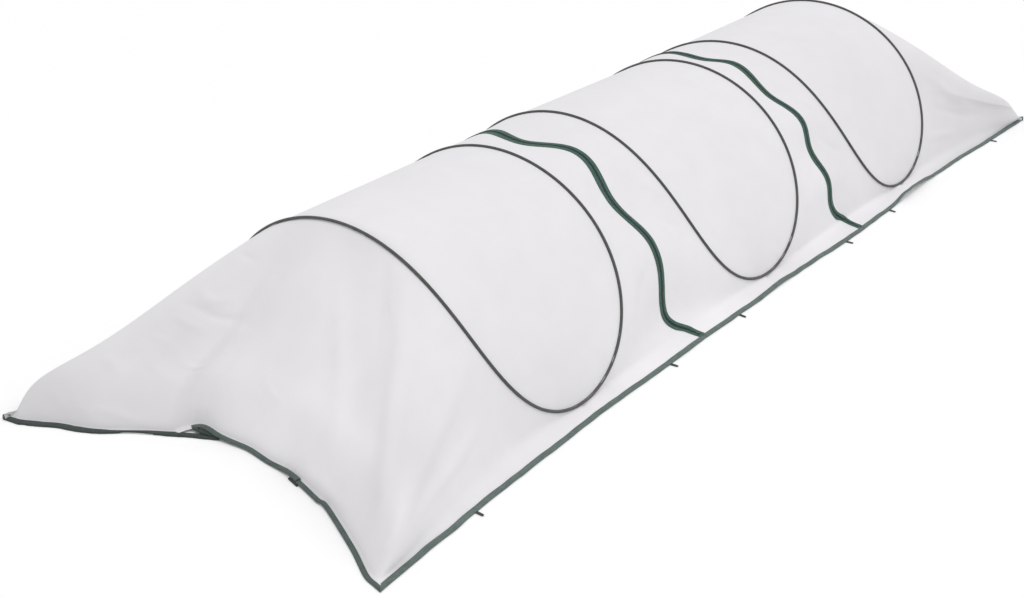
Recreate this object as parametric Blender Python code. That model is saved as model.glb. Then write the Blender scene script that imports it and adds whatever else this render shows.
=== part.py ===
"""A pop-up garden row cover: three fleece modules, each on one closed spring wire hoop, zipped end to end.

X runs along the tunnel, -Y is the side that faces the viewer, +Z is up, and the hems lie on Z = 0.
A hoop is one ring of wire bent into a saddle. An angle t along it is 0 at its foot on the -Y side,
90 degrees at the top of its rear arch, 180 at its foot on the +Y side and 270 at the top of its front arch.
"""

import math

import bmesh
import bpy
import numpy as np
from mathutils import Matrix

for old in list(bpy.data.objects):
    bpy.data.objects.remove(old, do_unlink=True)

# The side of the tunnel that faces the viewer, and the other side
NEAR, FAR = -1, 1

# Layout of the tunnel
HALF_LENGTH = 1.500
MODULE_PLACE_SHARES = {"front": -0.5047, "middle": 0.0233, "rear": 0.51}
HOOP_TURNS_DEG = {"front": 0, "middle": -1.76, "rear": 0.23}
HOOP_SHIFTS = {"front": 0, "middle": 0, "rear": -0.009}

# Spring hoop
HOOP_HALF_WIDTH = 0.412
HOOP_REACH = 0.2563
HOOP_FOOT_HEIGHT = 0.0124
HOOP_RISE = 0.3845
BOW_SHARE = -0.061
CROWN_SHARE = 0.0134
REACH_SHARES = {1: 1.0, 3: 0.1338, 5: 0.0053}
HOOP_STEPS = 48
WIRE_SIDES = 8
WIRE_RADIUS = 0.00125
WIRE_END_GAP = 0.0005
FERRULE_WALL = 0.0004
FERRULE_LENGTH = 0.024
SLOPE_STEP_DEG = 2

# Wire channel sewn over the hoop
CHANNEL_WALL = 0.0008
CHANNEL_BASE_GAP = 0.0009
CHANNEL_SHOULDER_SHARE = 0.7

# Fleece and its bound hems
GAP = 0.0003
FLEECE_THICKNESS = 0.0010
BINDING_WALL = 0.0006
BINDING_WIDTH = 0.0135
BINDING_LIP_GAP = 0.0007
KICK_DROP = 0.0060
HEM_FLARE = 0.0455
HEM_PLACE_SHARES = (
    -0.927, -0.867, -0.747, -0.607, -0.507, -0.247, 0.023, 0.103, 0.227, 0.293, 0.573, 0.727, 0.813, 0.900,
)
HEM_WIDTH_SHARES = (
    1.065, 1.051, 1.027, 1.010, 1.000, 1.000, 1.004, 1.012, 1.027, 1.029, 1.013, 1.028, 1.047, 1.060,
)
CORNER_SHARES = {
    ("front", NEAR): (-0.984, 1.078),
    ("front", FAR): (-1.000, 1.103),
    ("rear", NEAR): (1.000, 1.072),
    ("rear", FAR): (0.988, 1.080),
}
END_MIDDLE_SHARES = {"front": -0.8585, "rear": 0.852}
END_HEM_POWERS = {("front", NEAR): 1.5, ("front", FAR): 1.15, ("rear", NEAR): 1.6, ("rear", FAR): 1.4}
FAN_DEGS = (0, 30, 90)
FAN_SHARES = (0, 0.915, 0.943)
KICK_SHARE = 0.95
LOW_ROW_POWER = 1.5
SKIRT_BULGE = 0.055
BULGE_POWER = 4.2
SKIRT_LIFTS = {"front": 0, "rear": 0.039}
SKIRT_SHARES = (0.06, 0.17, 0.36, 0.60, 0.82)
SADDLE_SHARES = (0.25, 0.5, 0.75)
BESIDE_ZIP_SHARES = (0.35, 0.70)
FOLD_DEPTH = 0.006
FOLD_COUNT = 4

# Zips between the modules
ZIP_WANDER = 0.037
ZIP_SAG = 0.021
ZIP_ANGLES_DEG = {
    "zip_1": (0, 22, 44, 60, 76, 91, 108, 125, 142.5, 180),
    "zip_2": (0, 22, 32, 44, 54, 67, 80, 90, 106, 125, 142.5, 180),
}
ZIP_WANDER_SHARES = {
    "zip_1": (0.5, -0.75, -0.16, -0.70, -0.07, -1.0, 0, -0.5, 0, 0),
    "zip_2": (1.1, -0.22, 0, -0.39, 0.07, -0.56, -0.16, -0.73, -0.1, -0.4, 0, 0),
}
ZIP_SAG_SHARES = {
    "zip_1": (0, 1.0, 0.21, 1.0, 0.07, 0.70, 0, 0.4, 0, 0),
    "zip_2": (0, 0.21, 0, 0.43, -0.05, 0.6, 0.16, 0.48, 0, 0.3, 0, 0),
}
ZIP_FOOT_SHARES = {"zip_1": 0.78, "zip_2": 1.07}
ZIP_STRAIGHT_DEG = (142.5, 172.5)
ZIP_END_SHARE = 0.85
CHAIN_GAP = 0.0016
CHAIN_WIDTH = 0.0020
CHAIN_HEIGHT = 0.0020
ZIP_TAPE_WIDTH = 0.0074
ZIP_TAPE_THICKNESS = 0.0008
FLEECE_TO_ZIP = 0.0055
FLAT_BESIDE_ZIP = 0.0130
STOP_LENGTH = 0.0030
PIN_LENGTH = 0.0090
BOX_LENGTH = 0.0070

# Zip slider and its pull
SLIDER_LENGTH = 0.0110
SLIDER_WIDTH = 0.0084
SLIDER_PLATE = 0.0008
SLIDER_WEB = 0.0010
SLIDER_FROM_END = 0.024
BRIDGE_LENGTH = 0.0070
BRIDGE_WIDTH = 0.0014
BRIDGE_POST = 0.0010
BRIDGE_OPENING = 0.0016
BRIDGE_BAR = 0.0008
PULL_BAR = 0.0010
PULL_SIDE = 0.0010
PULL_EYE_SLACK = 0.00025
PULL_EYE_LENGTH = 0.0040
PULL_TAB_LENGTH = 0.0130
PULL_TAB_WIDTH = 0.0056

# Peg loops and the blank tab
LOOP_CORD_RADIUS = 0.0014
LOOP_INNER_WIDTH = 0.0044
LOOP_REACH = 0.0190
LOOP_CORD_SIDES = 6
LOOP_BEND_STEPS = 6
LOOP_PLACE_SHARES = {"front": (-0.792, -0.326), "middle": (-0.127, 0.223), "rear": (0.394, 0.844)}
TAB_PLACE_SHARE = -0.26
TAB_LENGTH = 0.030
TAB_REACH = 0.008
TAB_THICKNESS = 0.0012
TAB_GAP = 0.0006

# Points nearer together than this many digits of a metre are one point
MERGE_DIGITS = 8
PLACE_DIGITS = 6

MATERIALS = {
    "fleece": ((0.78, 0.78, 0.79), 0.90, 0.0),
    "channel_tape": ((0.10, 0.12, 0.115), 0.80, 0.0),
    "hem_binding": ((0.085, 0.125, 0.112), 0.85, 0.0),
    "zip_tape": ((0.020, 0.075, 0.052), 0.80, 0.0),
    "zip_teeth": ((0.012, 0.045, 0.032), 0.45, 0.0),
    "zip_metal": ((0.10, 0.12, 0.11), 0.40, 1.0),
    "spring_steel": ((0.35, 0.36, 0.37), 0.35, 1.0),
    "ferrule_metal": ((0.55, 0.55, 0.54), 0.40, 1.0),
    "cord": ((0.03, 0.035, 0.033), 0.80, 0.0),
    "tab": ((0.015, 0.018, 0.017), 0.75, 0.0),
}


def material(name):
    """The named finish, made once."""
    found = bpy.data.materials.get(name)
    if found:
        return found
    color, roughness, metallic = MATERIALS[name]
    made = bpy.data.materials.new(name)
    made.use_nodes = True
    shader = made.node_tree.nodes["Principled BSDF"]
    shader.inputs["Base Color"].default_value = (*color, 1.0)
    shader.inputs["Roughness"].default_value = roughness
    shader.inputs["Metallic"].default_value = metallic
    return made


def unit(vector):
    return vector / np.linalg.norm(vector)


def add_object(name, points, faces, finish, smooth_deg=0):
    """A mesh object from points and faces, with points at the same place made one."""
    made = bmesh.new()
    corners = {}
    index = []
    for point in points:
        key = tuple(np.round(point, MERGE_DIGITS))
        if key not in corners:
            corners[key] = made.verts.new(point)
        index.append(corners[key])
    for face in faces:
        loop = []
        for corner in (index[i] for i in face):
            if corner not in loop:
                loop.append(corner)
        if len(loop) > 2:
            made.faces.new(loop)
    bmesh.ops.recalc_face_normals(made, faces=made.faces)
    mesh = bpy.data.meshes.new(name)
    made.to_mesh(mesh)
    made.free()
    if smooth_deg:
        mesh.shade_smooth()
        mesh.set_sharp_from_angle(angle=math.radians(smooth_deg))
    placed = bpy.data.objects.new(name, mesh)
    placed.data.materials.append(material(finish))
    bpy.context.scene.collection.objects.link(placed)
    return placed


def grid_faces(rows, columns, closed=False):
    """The quads of a grid of points, whose rows meet end to end when it is closed."""
    faces = []
    for row in range(rows if closed else rows - 1):
        for column in range(columns - 1):
            a = row * columns + column
            b = (row + 1) % rows * columns + column
            faces.append((a, a + 1, b + 1, b))
    return faces


def sheet(name, points, finish):
    """A closed sheet of cloth, as thick as the fleece, about a grid of points on its middle surface."""
    rows, columns = points.shape[:2]
    placed = add_object(name, points.reshape(-1, 3), grid_faces(rows, columns), finish)
    thicken = placed.modifiers.new("thickness", "SOLIDIFY")
    thicken.thickness = FLEECE_THICKNESS
    thicken.offset = 0
    thicken.use_even_offset = True
    placed.data.shade_smooth()
    return placed


def sweep(name, rings, finish, closed=False, smooth_deg=40):
    """A solid through a row of like rings of points, with its two ends filled unless it is closed."""
    rings = np.array(rings)
    count, sides = rings.shape[:2]
    looped = np.concatenate([rings, rings[:, :1]], axis=1)
    faces = grid_faces(count, sides + 1, closed)
    if not closed:
        last = (count - 1) * (sides + 1)
        faces.append(tuple(range(sides)))
        faces.append(tuple(range(last, last + sides)))
    return add_object(name, looped.reshape(-1, 3), faces, finish, smooth_deg)


def ring(centre, across, up, profile):
    """The profile's points, given as (across, up) pairs, set at a place on a path."""
    return [centre + across * a + up * u for a, u in profile]


def circle(radius, sides):
    """A profile of a round bar."""
    turns = [2 * math.pi * i / sides for i in range(sides)]
    return [(radius * math.cos(turn), radius * math.sin(turn)) for turn in turns]


def rectangle(left, right, low, high):
    """A profile of a flat bar."""
    return [(left, low), (right, low), (right, high), (left, high)]


def block(name, place, size_profile, start, end, finish):
    """A prism of one profile from start to end along the place's third direction."""
    centre, across, up, along = place
    rings = [ring(centre + along * d, across, up, size_profile) for d in (start, end)]
    return sweep(name, rings, finish, smooth_deg=0)


def move_origin(placed, point):
    """Moves an object's origin, and leaves its shape where it is."""
    placed.data.transform(Matrix.Translation([-c for c in point]))
    placed.location = point


def carry(name, point, pieces):
    """An empty at the middle of the pieces that move as one."""
    carrier = bpy.data.objects.new(name, None)
    carrier.location = point
    bpy.context.scene.collection.objects.link(carrier)
    for piece in pieces:
        piece.parent = carrier
        piece.matrix_parent_inverse = Matrix.Translation([-c for c in point])


# Sizes that follow from those above
MODULE_CENTRES = {module: HALF_LENGTH * share for module, share in MODULE_PLACE_SHARES.items()}
HEM_HALF_WIDTH = HOOP_HALF_WIDTH + HEM_FLARE
CORNERS = {
    (end, side): (HALF_LENGTH * along, HEM_HALF_WIDTH * across * side)
    for (end, side), (along, across) in CORNER_SHARES.items()
}
BORE_RADIUS = (WIRE_RADIUS + GAP) / math.cos(math.pi / WIRE_SIDES)
FERRULE_RADIUS = BORE_RADIUS + FERRULE_WALL
WIRE_ABOVE_FLEECE = FERRULE_RADIUS + GAP
CHANNEL_HALF_WIDTH = FERRULE_RADIUS + GAP
CHANNEL_ROOF = WIRE_ABOVE_FLEECE + FERRULE_RADIUS + GAP
WIRE_TO_MIDDLE = WIRE_ABOVE_FLEECE + FLEECE_THICKNESS / 2
BINDING_HEIGHT = 2 * BINDING_WALL + 2 * GAP + FLEECE_THICKNESS
HEM_LEVEL = BINDING_HEIGHT / 2
HEM_INSET = BINDING_WALL + GAP
CHAIN_NEAR = CHAIN_GAP / 2
CHAIN_FAR = CHAIN_NEAR + CHAIN_WIDTH
TAPE_NEAR = CHAIN_FAR + GAP
TAPE_FAR = TAPE_NEAR + ZIP_TAPE_WIDTH
TAPE_LOW = FLEECE_THICKNESS / 2 + GAP
TAPE_HIGH = TAPE_LOW + ZIP_TAPE_THICKNESS
CHAIN_LOW = (TAPE_LOW + TAPE_HIGH - CHAIN_HEIGHT) / 2
CHAIN_HIGH = CHAIN_LOW + CHAIN_HEIGHT
ROW_ANGLES = [2 * math.pi * i / HOOP_STEPS for i in range(HOOP_STEPS // 2 + 1)]
ZIP_MIDDLES = {
    "zip_1": (MODULE_CENTRES["front"] + MODULE_CENTRES["middle"]) / 2,
    "zip_2": (MODULE_CENTRES["middle"] + MODULE_CENTRES["rear"]) / 2,
}


def section(t):
    """The hoop seen from the end of the tunnel: (y, z) at an angle t."""
    y = -HOOP_HALF_WIDTH * (math.cos(t) + BOW_SHARE * math.cos(3 * t)) / (1 + BOW_SHARE)
    rise = (1 - math.cos(2 * t)) / 2 + CROWN_SHARE * (1 - math.cos(4 * t)) / 2
    return np.array([y, HOOP_FOOT_HEIGHT + HOOP_RISE * rise])


def slope(t):
    """The direction of the section at t, from the near foot towards the far one, as an X Y Z vector."""
    step = math.radians(SLOPE_STEP_DEG)
    rise = section(min(t + step, math.pi)) - section(max(t - step, 0))
    return unit(np.array([0, *rise]))


def outward(t):
    """The direction that faces out of the tunnel at t."""
    along = slope(t)
    return np.array([0, -along[2], along[1]])


def hoop_point(module, t):
    """The middle of the wire at t, on the rear arch up to half a turn and on the front arch past it."""
    terms = [share * math.sin(n * t) for n, share in REACH_SHARES.items()]
    tops = [share * math.sin(n * math.pi / 2) for n, share in REACH_SHARES.items()]
    x = HOOP_REACH * sum(terms) / sum(tops)
    y, z = section(t)
    turn = math.radians(HOOP_TURNS_DEG[module])
    centre = MODULE_CENTRES[module]
    return np.array([
        centre + x * math.cos(turn) - y * math.sin(turn),
        HOOP_SHIFTS[module] + x * math.sin(turn) + y * math.cos(turn),
        z,
    ])


def skin(t):
    """The middle of the fleece at t, seen from the end of the tunnel."""
    return np.array([0, *section(t)]) - outward(t) * WIRE_TO_MIDDLE


def on_hoop(module, t, front):
    """The middle of the fleece under the wire, on the front or the rear arch."""
    return hoop_point(module, 2 * math.pi - t if front else t) - outward(t) * WIRE_TO_MIDDLE


ROWS = (
    [("edge", NEAR), ("inner", NEAR), ("kick", NEAR)]
    + [("wall", t) for t in ROW_ANGLES]
    + [("kick", FAR), ("inner", FAR), ("edge", FAR)]
)


def hem_width(x, side):
    """Half the width of the tunnel at its ground hem, whose outer edge this is."""
    front, rear = CORNER_SHARES["front", side], CORNER_SHARES["rear", side]
    places = (front[0], *HEM_PLACE_SHARES, rear[0])
    widths = (front[1], *HEM_WIDTH_SHARES, rear[1])
    return HEM_HALF_WIDTH * float(np.interp(x / HALF_LENGTH, places, widths))


def side_hem(x, side, inset):
    """A point at a distance inside a ground hem's outer edge."""
    step = BINDING_WIDTH
    run = unit(np.array([2 * step, side * (hem_width(x + step, side) - hem_width(x - step, side)), 0]))
    inward = np.array([side * run[1], -side * run[0], 0])
    return np.array([x, side * hem_width(x, side), 0]) + inward * inset


def end_curve(end, f):
    """The outer edge of an end hem, for f from -1 at its near corner to 1 at its far one."""
    side = NEAR if f < 0 else FAR
    x, y = CORNERS[end, side]
    middle = HALF_LENGTH * END_MIDDLE_SHARES[end]
    return np.array([middle + (x - middle) * abs(f) ** END_HEM_POWERS[end, side], y * abs(f), 0])


def end_inward(end, f):
    """The level direction into the cloth from an end hem."""
    step = BINDING_WIDTH / HEM_HALF_WIDTH
    low, high = max(f - step, -1), min(f + step, 1)
    run = unit(end_curve(end, high) - end_curve(end, low))
    facing = 1 if end == "front" else -1
    return facing * np.array([run[1], -run[0], 0])


def corner_point(end, side, side_inset, end_inset):
    """The point at two distances inside the two hems that meet in a corner."""
    corner = np.array([*CORNERS[end, side], 0])
    inner_x = corner[0] + (BINDING_WIDTH if end == "front" else -BINDING_WIDTH)
    from_side = unit(side_hem(inner_x, side, BINDING_WIDTH) - side_hem(inner_x, side, 0))
    from_end = end_inward(end, side)
    lean = np.array([from_side[:2], from_end[:2]])
    return corner + np.array([*np.linalg.solve(lean, [side_inset, end_inset]), 0])


def kick_from(foot, side):
    """The point just below a hoop's foot, where the fleece turns outwards to its hem."""
    t = 0 if side == NEAR else math.pi
    return foot + side * slope(t) * KICK_DROP


def end_place(t):
    """Where an end skirt's line from an angle t meets its hem: the low ones all run close to the corners."""
    from_top = t - math.pi / 2
    share = float(np.interp(math.degrees(abs(from_top)), FAN_DEGS, FAN_SHARES))
    return math.copysign(share, from_top)


LEVEL = np.array([0, 0, HEM_LEVEL])
ROW_PLACES = [end_place(value) if kind == "wall" else value * KICK_SHARE for kind, value in ROWS]


def eased(angles, shares, t):
    """A wave that eases from each share to the next one."""
    t = min(max(math.degrees(t), angles[0]), angles[-1])
    after = next(i for i, angle in enumerate(angles) if angle >= t)
    if after == 0:
        return shares[0]
    part = (t - angles[after - 1]) / (angles[after] - angles[after - 1])
    ease = (1 - math.cos(math.pi * part)) / 2
    return shares[after - 1] + (shares[after] - shares[after - 1]) * ease


def zip_wall_point(name, t):
    """The zip's line on the walls and the ridge, where the loose fleece lets it wander and sag."""
    low, high = (math.radians(angle) for angle in ZIP_STRAIGHT_DEG)
    if low < t < high:
        part = (t - low) / (high - low)
        return zip_wall_point(name, low) * (1 - part) + zip_wall_point(name, high) * part
    wander = ZIP_WANDER * eased(ZIP_ANGLES_DEG[name], ZIP_WANDER_SHARES[name], t)
    sag = ZIP_SAG * eased(ZIP_ANGLES_DEG[name], ZIP_SAG_SHARES[name], t)
    return skin(t) - outward(t) * sag + np.array([ZIP_MIDDLES[name] + wander, 0, 0])


def zip_row_point(name, row):
    kind, value = row
    if kind == "wall":
        return zip_wall_point(name, value)
    foot = zip_wall_point(name, 0 if value == NEAR else math.pi)
    wander = ZIP_WANDER * ZIP_FOOT_SHARES[name] if value == NEAR else 0
    x = ZIP_MIDDLES[name] + wander
    if kind == "kick":
        return kick_from(foot, value) + np.array([(x - foot[0]) / 2, 0, 0])
    return side_hem(x, value, HEM_INSET if kind == "edge" else BINDING_WIDTH) + LEVEL


def zip_frames(points):
    """For each point of a zip's line, the X direction widened for the line's slant, and the way out."""
    runs = [unit(b - a) for a, b in zip(points, points[1:])]
    frames = []
    for i, point in enumerate(points):
        before, after = runs[max(i - 1, 0)], runs[min(i, len(runs) - 1)]
        along = unit(before + after)
        across = np.array([1, 0, 0]) / math.sqrt(1 - along[0] ** 2)
        faces = [unit(np.cross([1, 0, 0], run)) for run in (before, after)]
        up = unit(faces[0] + faces[1])
        frames.append((point, across, up / float(up @ faces[0])))
    return frames


ZIP_LINES = {name: zip_frames([zip_row_point(name, row) for row in ROWS]) for name in ZIP_MIDDLES}


def hoop_columns(module, number):
    """The cloth's points from the front arch to the rear arch, all one point at and below the hoop's feet."""
    kind, value = ROWS[number]
    if kind == "wall":
        front, rear = (on_hoop(module, value, side) for side in (True, False))
        return [front] + [front + (rear - front) * share for share in SADDLE_SHARES] + [rear]
    side = value
    foot = on_hoop(module, 0 if side == NEAR else math.pi, False)
    if kind == "kick":
        point = kick_from(foot, side)
    else:
        point = side_hem(foot[0], side, HEM_INSET if kind == "edge" else BINDING_WIDTH) + LEVEL
    return [point] * (2 + len(SADDLE_SHARES))


def zip_columns(name, number, direction, arch):
    """The cloth's points from a zip, on its side towards direction, to the arch of the next hoop."""
    kind, value = ROWS[number]
    centre, across, _ = ZIP_LINES[name][number]
    edge = centre + across * FLEECE_TO_ZIP * direction
    flat = centre + across * FLAT_BESIDE_ZIP * direction
    if kind in ("edge", "inner"):
        inset = HEM_INSET if kind == "edge" else BINDING_WIDTH
        places = [edge[0], flat[0]] + [flat[0] + (arch[0] - flat[0]) * s for s in reversed_shares()]
        return [side_hem(x, value, inset) + LEVEL for x in places]
    if kind == "kick":
        return [edge, flat] + [flat + (arch - flat) * s for s in reversed_shares()]
    sag = ZIP_SAG * eased(ZIP_ANGLES_DEG[name], ZIP_SAG_SHARES[name], value)
    lifted = flat + outward(value) * sag
    between = []
    for s in reversed_shares():
        ease = (1 - s) ** 2 * (1 + 2 * s)
        between.append(lifted + (arch - lifted) * s - outward(value) * sag * ease)
    return [edge, flat] + between


def reversed_shares():
    return [1 - share for share in reversed(BESIDE_ZIP_SHARES)]


def hem_inside(end, f, inset):
    """A point at a distance inside an end hem's outer edge, at the height of the cloth."""
    return end_curve(end, f) + end_inward(end, f) * inset + LEVEL


def skirt_point(end, t, s):
    """A point of an end skirt, on the line from an angle t of the arch, where s is 1, to the end hem.

    A lift is highest two thirds of the way up that line.
    """
    arch = on_hoop(end, t, end == "front")
    hem = hem_inside(end, end_place(t), BINDING_WIDTH)
    from_foot = min(t, math.pi - t)
    spread = (1 - s) ** (1 + LOW_ROW_POWER * max(math.cos(2 * from_foot), 0))
    ripple = FOLD_DEPTH * math.sin(FOLD_COUNT * 2 * from_foot) * 4 * s * (1 - s)
    bulge = SKIRT_BULGE * math.sin(from_foot) * math.sin(math.pi * (1 - s) ** BULGE_POWER)
    lift = SKIRT_LIFTS[end] * math.sin(from_foot) ** 3 * 27 / 4 * s**2 * (1 - s)
    return arch + (hem - arch) * np.array([1 - s, spread, spread]) + outward(t) * (ripple + bulge + lift)


def skirt_columns(end, number, arch):
    """The cloth's points from an end hem up to the arch of the hoop behind it."""
    kind, value = ROWS[number]
    if kind in ("edge", "inner"):
        inset = HEM_INSET if kind == "edge" else BINDING_WIDTH
        ends = [corner_point(end, value, inset, d) + LEVEL for d in (HEM_INSET, BINDING_WIDTH)]
        start = corner_point(end, value, BINDING_WIDTH, BINDING_WIDTH)[0]
        places = [start + (arch[0] - start) * s for s in SKIRT_SHARES]
        return ends + [side_hem(x, value, inset) + LEVEL for x in places]
    ends = [hem_inside(end, ROW_PLACES[number], d) for d in (HEM_INSET, BINDING_WIDTH)]
    if kind == "wall":
        return ends + [skirt_point(end, value, s) for s in SKIRT_SHARES]
    spreads = [(1 - s) ** (1 + LOW_ROW_POWER) for s in SKIRT_SHARES]
    steps = [np.array([1 - s, spread, spread]) for s, spread in zip(SKIRT_SHARES, spreads)]
    return ends + [arch + (ends[1] - arch) * step for step in steps]


MODULE_ENDS = {"front": ("front", "zip_1"), "middle": ("zip_1", "zip_2"), "rear": ("zip_2", "rear")}
MODULE_STARTS = {
    "front": ("front_", "zip_1_front_", "zip_1_insertion_pin"),
    "middle": ("middle_", "zip_1_rear_", "zip_1_retainer_box", "zip_2_front_", "zip_2_insertion_pin"),
    "rear": ("rear_", "zip_2_rear_", "zip_2_retainer_box"),
}


def cover_rows(module):
    """The grid of a module's cloth: a row for each place round the tunnel, running along it."""
    before, after = MODULE_ENDS[module]
    grid = []
    for number in range(len(ROWS)):
        hoop = hoop_columns(module, number)
        if before in ZIP_MIDDLES:
            left = zip_columns(before, number, 1, hoop[0])
        else:
            left = skirt_columns(before, number, hoop[0])
        if after in ZIP_MIDDLES:
            right = zip_columns(after, number, -1, hoop[-1])
        else:
            right = skirt_columns(after, number, hoop[-1])
        grid.append(left + hoop + right[::-1])
    return np.array(grid)


def make_cover(module):
    return sheet(f"{module}_fleece_cover", cover_rows(module), "fleece")


def hoop_frame(module, step):
    """A place on the hoop: the wire's middle, the direction across it in the cloth, and the way out."""
    t = 2 * math.pi * step / HOOP_STEPS
    half = math.pi / HOOP_STEPS
    along = unit(hoop_point(module, t + half) - hoop_point(module, t - half))
    turned = t % (2 * math.pi)
    up = outward(min(turned, 2 * math.pi - turned))
    up = unit(up - along * (up @ along))
    return hoop_point(module, t), np.cross(up, along), up


def beside_foot(module, distance):
    """The frame at a distance along the wire from its far foot, on the straight run to the next step."""
    foot = HOOP_STEPS // 2
    here, there = hoop_frame(module, foot), hoop_frame(module, foot + (1 if distance > 0 else -1))
    part = abs(distance) / np.linalg.norm(there[0] - here[0])
    return tuple(a * (1 - part) + b * part for a, b in zip(here, there))


def make_wire(module):
    """The ring of spring wire, cut at its far foot, where the ferrule joins its ends."""
    foot = HOOP_STEPS // 2
    frames = [beside_foot(module, WIRE_END_GAP / 2)]
    frames += [hoop_frame(module, foot + i) for i in range(1, HOOP_STEPS)]
    frames.append(beside_foot(module, -WIRE_END_GAP / 2))
    rings = [ring(*frame, circle(WIRE_RADIUS, WIRE_SIDES)) for frame in frames]
    return sweep(f"{module}_spring_wire", rings, "spring_steel", smooth_deg=70)


def make_ferrule(module):
    """The crimped tube over the two ends of the wire."""
    reach = FERRULE_LENGTH / 2
    middles = [beside_foot(module, -reach), hoop_frame(module, HOOP_STEPS // 2), beside_foot(module, reach)]
    outer = circle(FERRULE_RADIUS, WIRE_SIDES)
    inner = circle(BORE_RADIUS, WIRE_SIDES)
    rings = []
    for a, b in zip(outer, inner):
        rings.append([ring(*frame, [corner])[0] for corner, frame in tube_corners(a, b, middles)])
    return sweep(f"{module}_wire_ferrule", rings, "ferrule_metal", closed=True)


def tube_corners(outer, inner, middles):
    """The places round one wall of a tube: along its outside, and back along its bore."""
    return [(outer, middle) for middle in middles] + [(inner, middle) for middle in reversed(middles)]


def make_channel(module):
    """The dark tape that is sewn over the wire, open on the side of the fleece."""
    half, wall = CHANNEL_HALF_WIDTH, CHANNEL_WALL
    base = CHANNEL_BASE_GAP - WIRE_ABOVE_FLEECE
    roof = CHANNEL_ROOF - WIRE_ABOVE_FLEECE
    shoulder = half * CHANNEL_SHOULDER_SHARE
    profile = [
        (-half, base),
        (-shoulder, roof),
        (shoulder, roof),
        (half, base),
        (half + wall, base),
        (shoulder + wall / 2, roof + wall),
        (-shoulder - wall / 2, roof + wall),
        (-half - wall, base),
    ]
    rings = [ring(*hoop_frame(module, step), profile) for step in range(HOOP_STEPS)]
    return sweep(f"{module}_wire_channel", rings, "channel_tape", closed=True)


def binding_profile():
    """The folded strip round a hem, as (distance inside the outer edge, height)."""
    lip = BINDING_WIDTH - BINDING_LIP_GAP
    slot = BINDING_HEIGHT - BINDING_WALL
    return [
        (0, 0),
        (lip, 0),
        (lip, BINDING_WALL),
        (BINDING_WALL, BINDING_WALL),
        (BINDING_WALL, slot),
        (lip, slot),
        (lip, BINDING_HEIGHT),
        (0, BINDING_HEIGHT),
    ]


UP = np.array([0, 0, 1])


def hem_places(module, side):
    """The X of each bend in a module's ground hem."""
    row = 0 if side == NEAR else len(ROWS) - 1
    return sorted(set(np.round([point[0] for point in cover_rows(module)[row]], PLACE_DIGITS)))


def make_side_hem(module, side):
    """The binding along the ground, from the module's corner or zip to its other zip or corner."""
    before, after = MODULE_ENDS[module]
    row = 0 if side == NEAR else len(ROWS) - 1
    places = hem_places(module, side)
    rings = []
    profile = binding_profile()
    for end, last in ((before, 0), (after, -1)):
        if end in ZIP_MIDDLES:
            places[last] = ZIP_LINES[end][row][0][0] + (GAP if last == 0 else -GAP)
    if before in MODULE_ENDS:
        rings.append([corner_point(before, side, a, a + GAP) + UP * u for a, u in profile])
        mitre = corner_point(before, side, 2 * BINDING_WIDTH, 2 * BINDING_WIDTH)[0]
        places = [x for x in places if x > mitre]
    if after in MODULE_ENDS:
        mitre = corner_point(after, side, 2 * BINDING_WIDTH, 2 * BINDING_WIDTH)[0]
        places = [x for x in places if x < mitre]
    rings += [[side_hem(x, side, a) + UP * u for a, u in profile] for x in places]
    if after in MODULE_ENDS:
        rings.append([corner_point(after, side, a, a + GAP) + UP * u for a, u in profile])
    label = "near" if side == NEAR else "far"
    return sweep(f"{module}_{label}_hem_binding", rings, "hem_binding", smooth_deg=30)


def make_end_hem(end):
    """The binding across the end of the tunnel, from one corner to the other."""
    profile = binding_profile()
    rings = [[corner_point(end, NEAR, a + GAP, a) + UP * u for a, u in profile]]
    for f in sorted(set(ROW_PLACES)):
        inward = end_inward(end, f)
        rings.append([end_curve(end, f) + inward * a + UP * u for a, u in profile])
    rings.append([corner_point(end, FAR, a + GAP, a) + UP * u for a, u in profile])
    return sweep(f"{end}_end_hem_binding", rings, "hem_binding", smooth_deg=30)


def zip_path(name):
    """The frames that the zip follows, from just inside its near hem to just inside its far one."""
    line = ZIP_LINES[name]
    last = len(ROWS) - 1
    ends = []
    for inner, kick in ((1, 2), (last - 1, last - 2)):
        place = line[kick][0] + (line[inner][0] - line[kick][0]) * ZIP_END_SHARE
        across = line[kick][1]
        run = unit(line[kick][0] - place) * (1 if inner == 1 else -1)
        ends.append((place, across, unit(np.cross([1, 0, 0], run))))
    return [ends[0]] + line[2:-2] + [ends[1]]


def path_lengths(path):
    steps = [np.linalg.norm(b[0] - a[0]) for a, b in zip(path, path[1:])]
    return np.concatenate([[0], np.cumsum(steps)])


def frame_at(path, lengths, distance):
    """The frame at a distance along a path, between the two frames beside it."""
    after = int(np.searchsorted(lengths, distance))
    after = min(max(after, 1), len(path) - 1)
    part = (distance - lengths[after - 1]) / (lengths[after] - lengths[after - 1])
    return tuple(a * (1 - part) + b * part for a, b in zip(path[after - 1], path[after]))


def strip(name, path, start, end, profile, finish):
    """A bar of one profile along a stretch of the zip."""
    lengths = path_lengths(path)
    inside = [frame for frame, length in zip(path, lengths) if start + GAP < length < end - GAP]
    frames = [frame_at(path, lengths, start)] + inside + [frame_at(path, lengths, end)]
    return sweep(name, [ring(*frame, profile) for frame in frames], finish, smooth_deg=30)


def both_sides(profile, direction):
    """The profile as it is on the rear side of a zip, or mirrored to its front side."""
    return profile if direction == 1 else [(-a, u) for a, u in reversed(profile)]


def slider_frame(name):
    """The slider's place when the zip is closed: its middle, across the zip, out of it, and up the zip."""
    low, high = (math.radians(angle) for angle in reversed(ZIP_STRAIGHT_DEG))
    foot, top = zip_wall_point(name, low), zip_wall_point(name, high)
    along = unit(top - foot)
    across = np.array([1, 0, 0])
    return foot + along * SLIDER_FROM_END, across, np.cross(along, across), along


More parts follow.
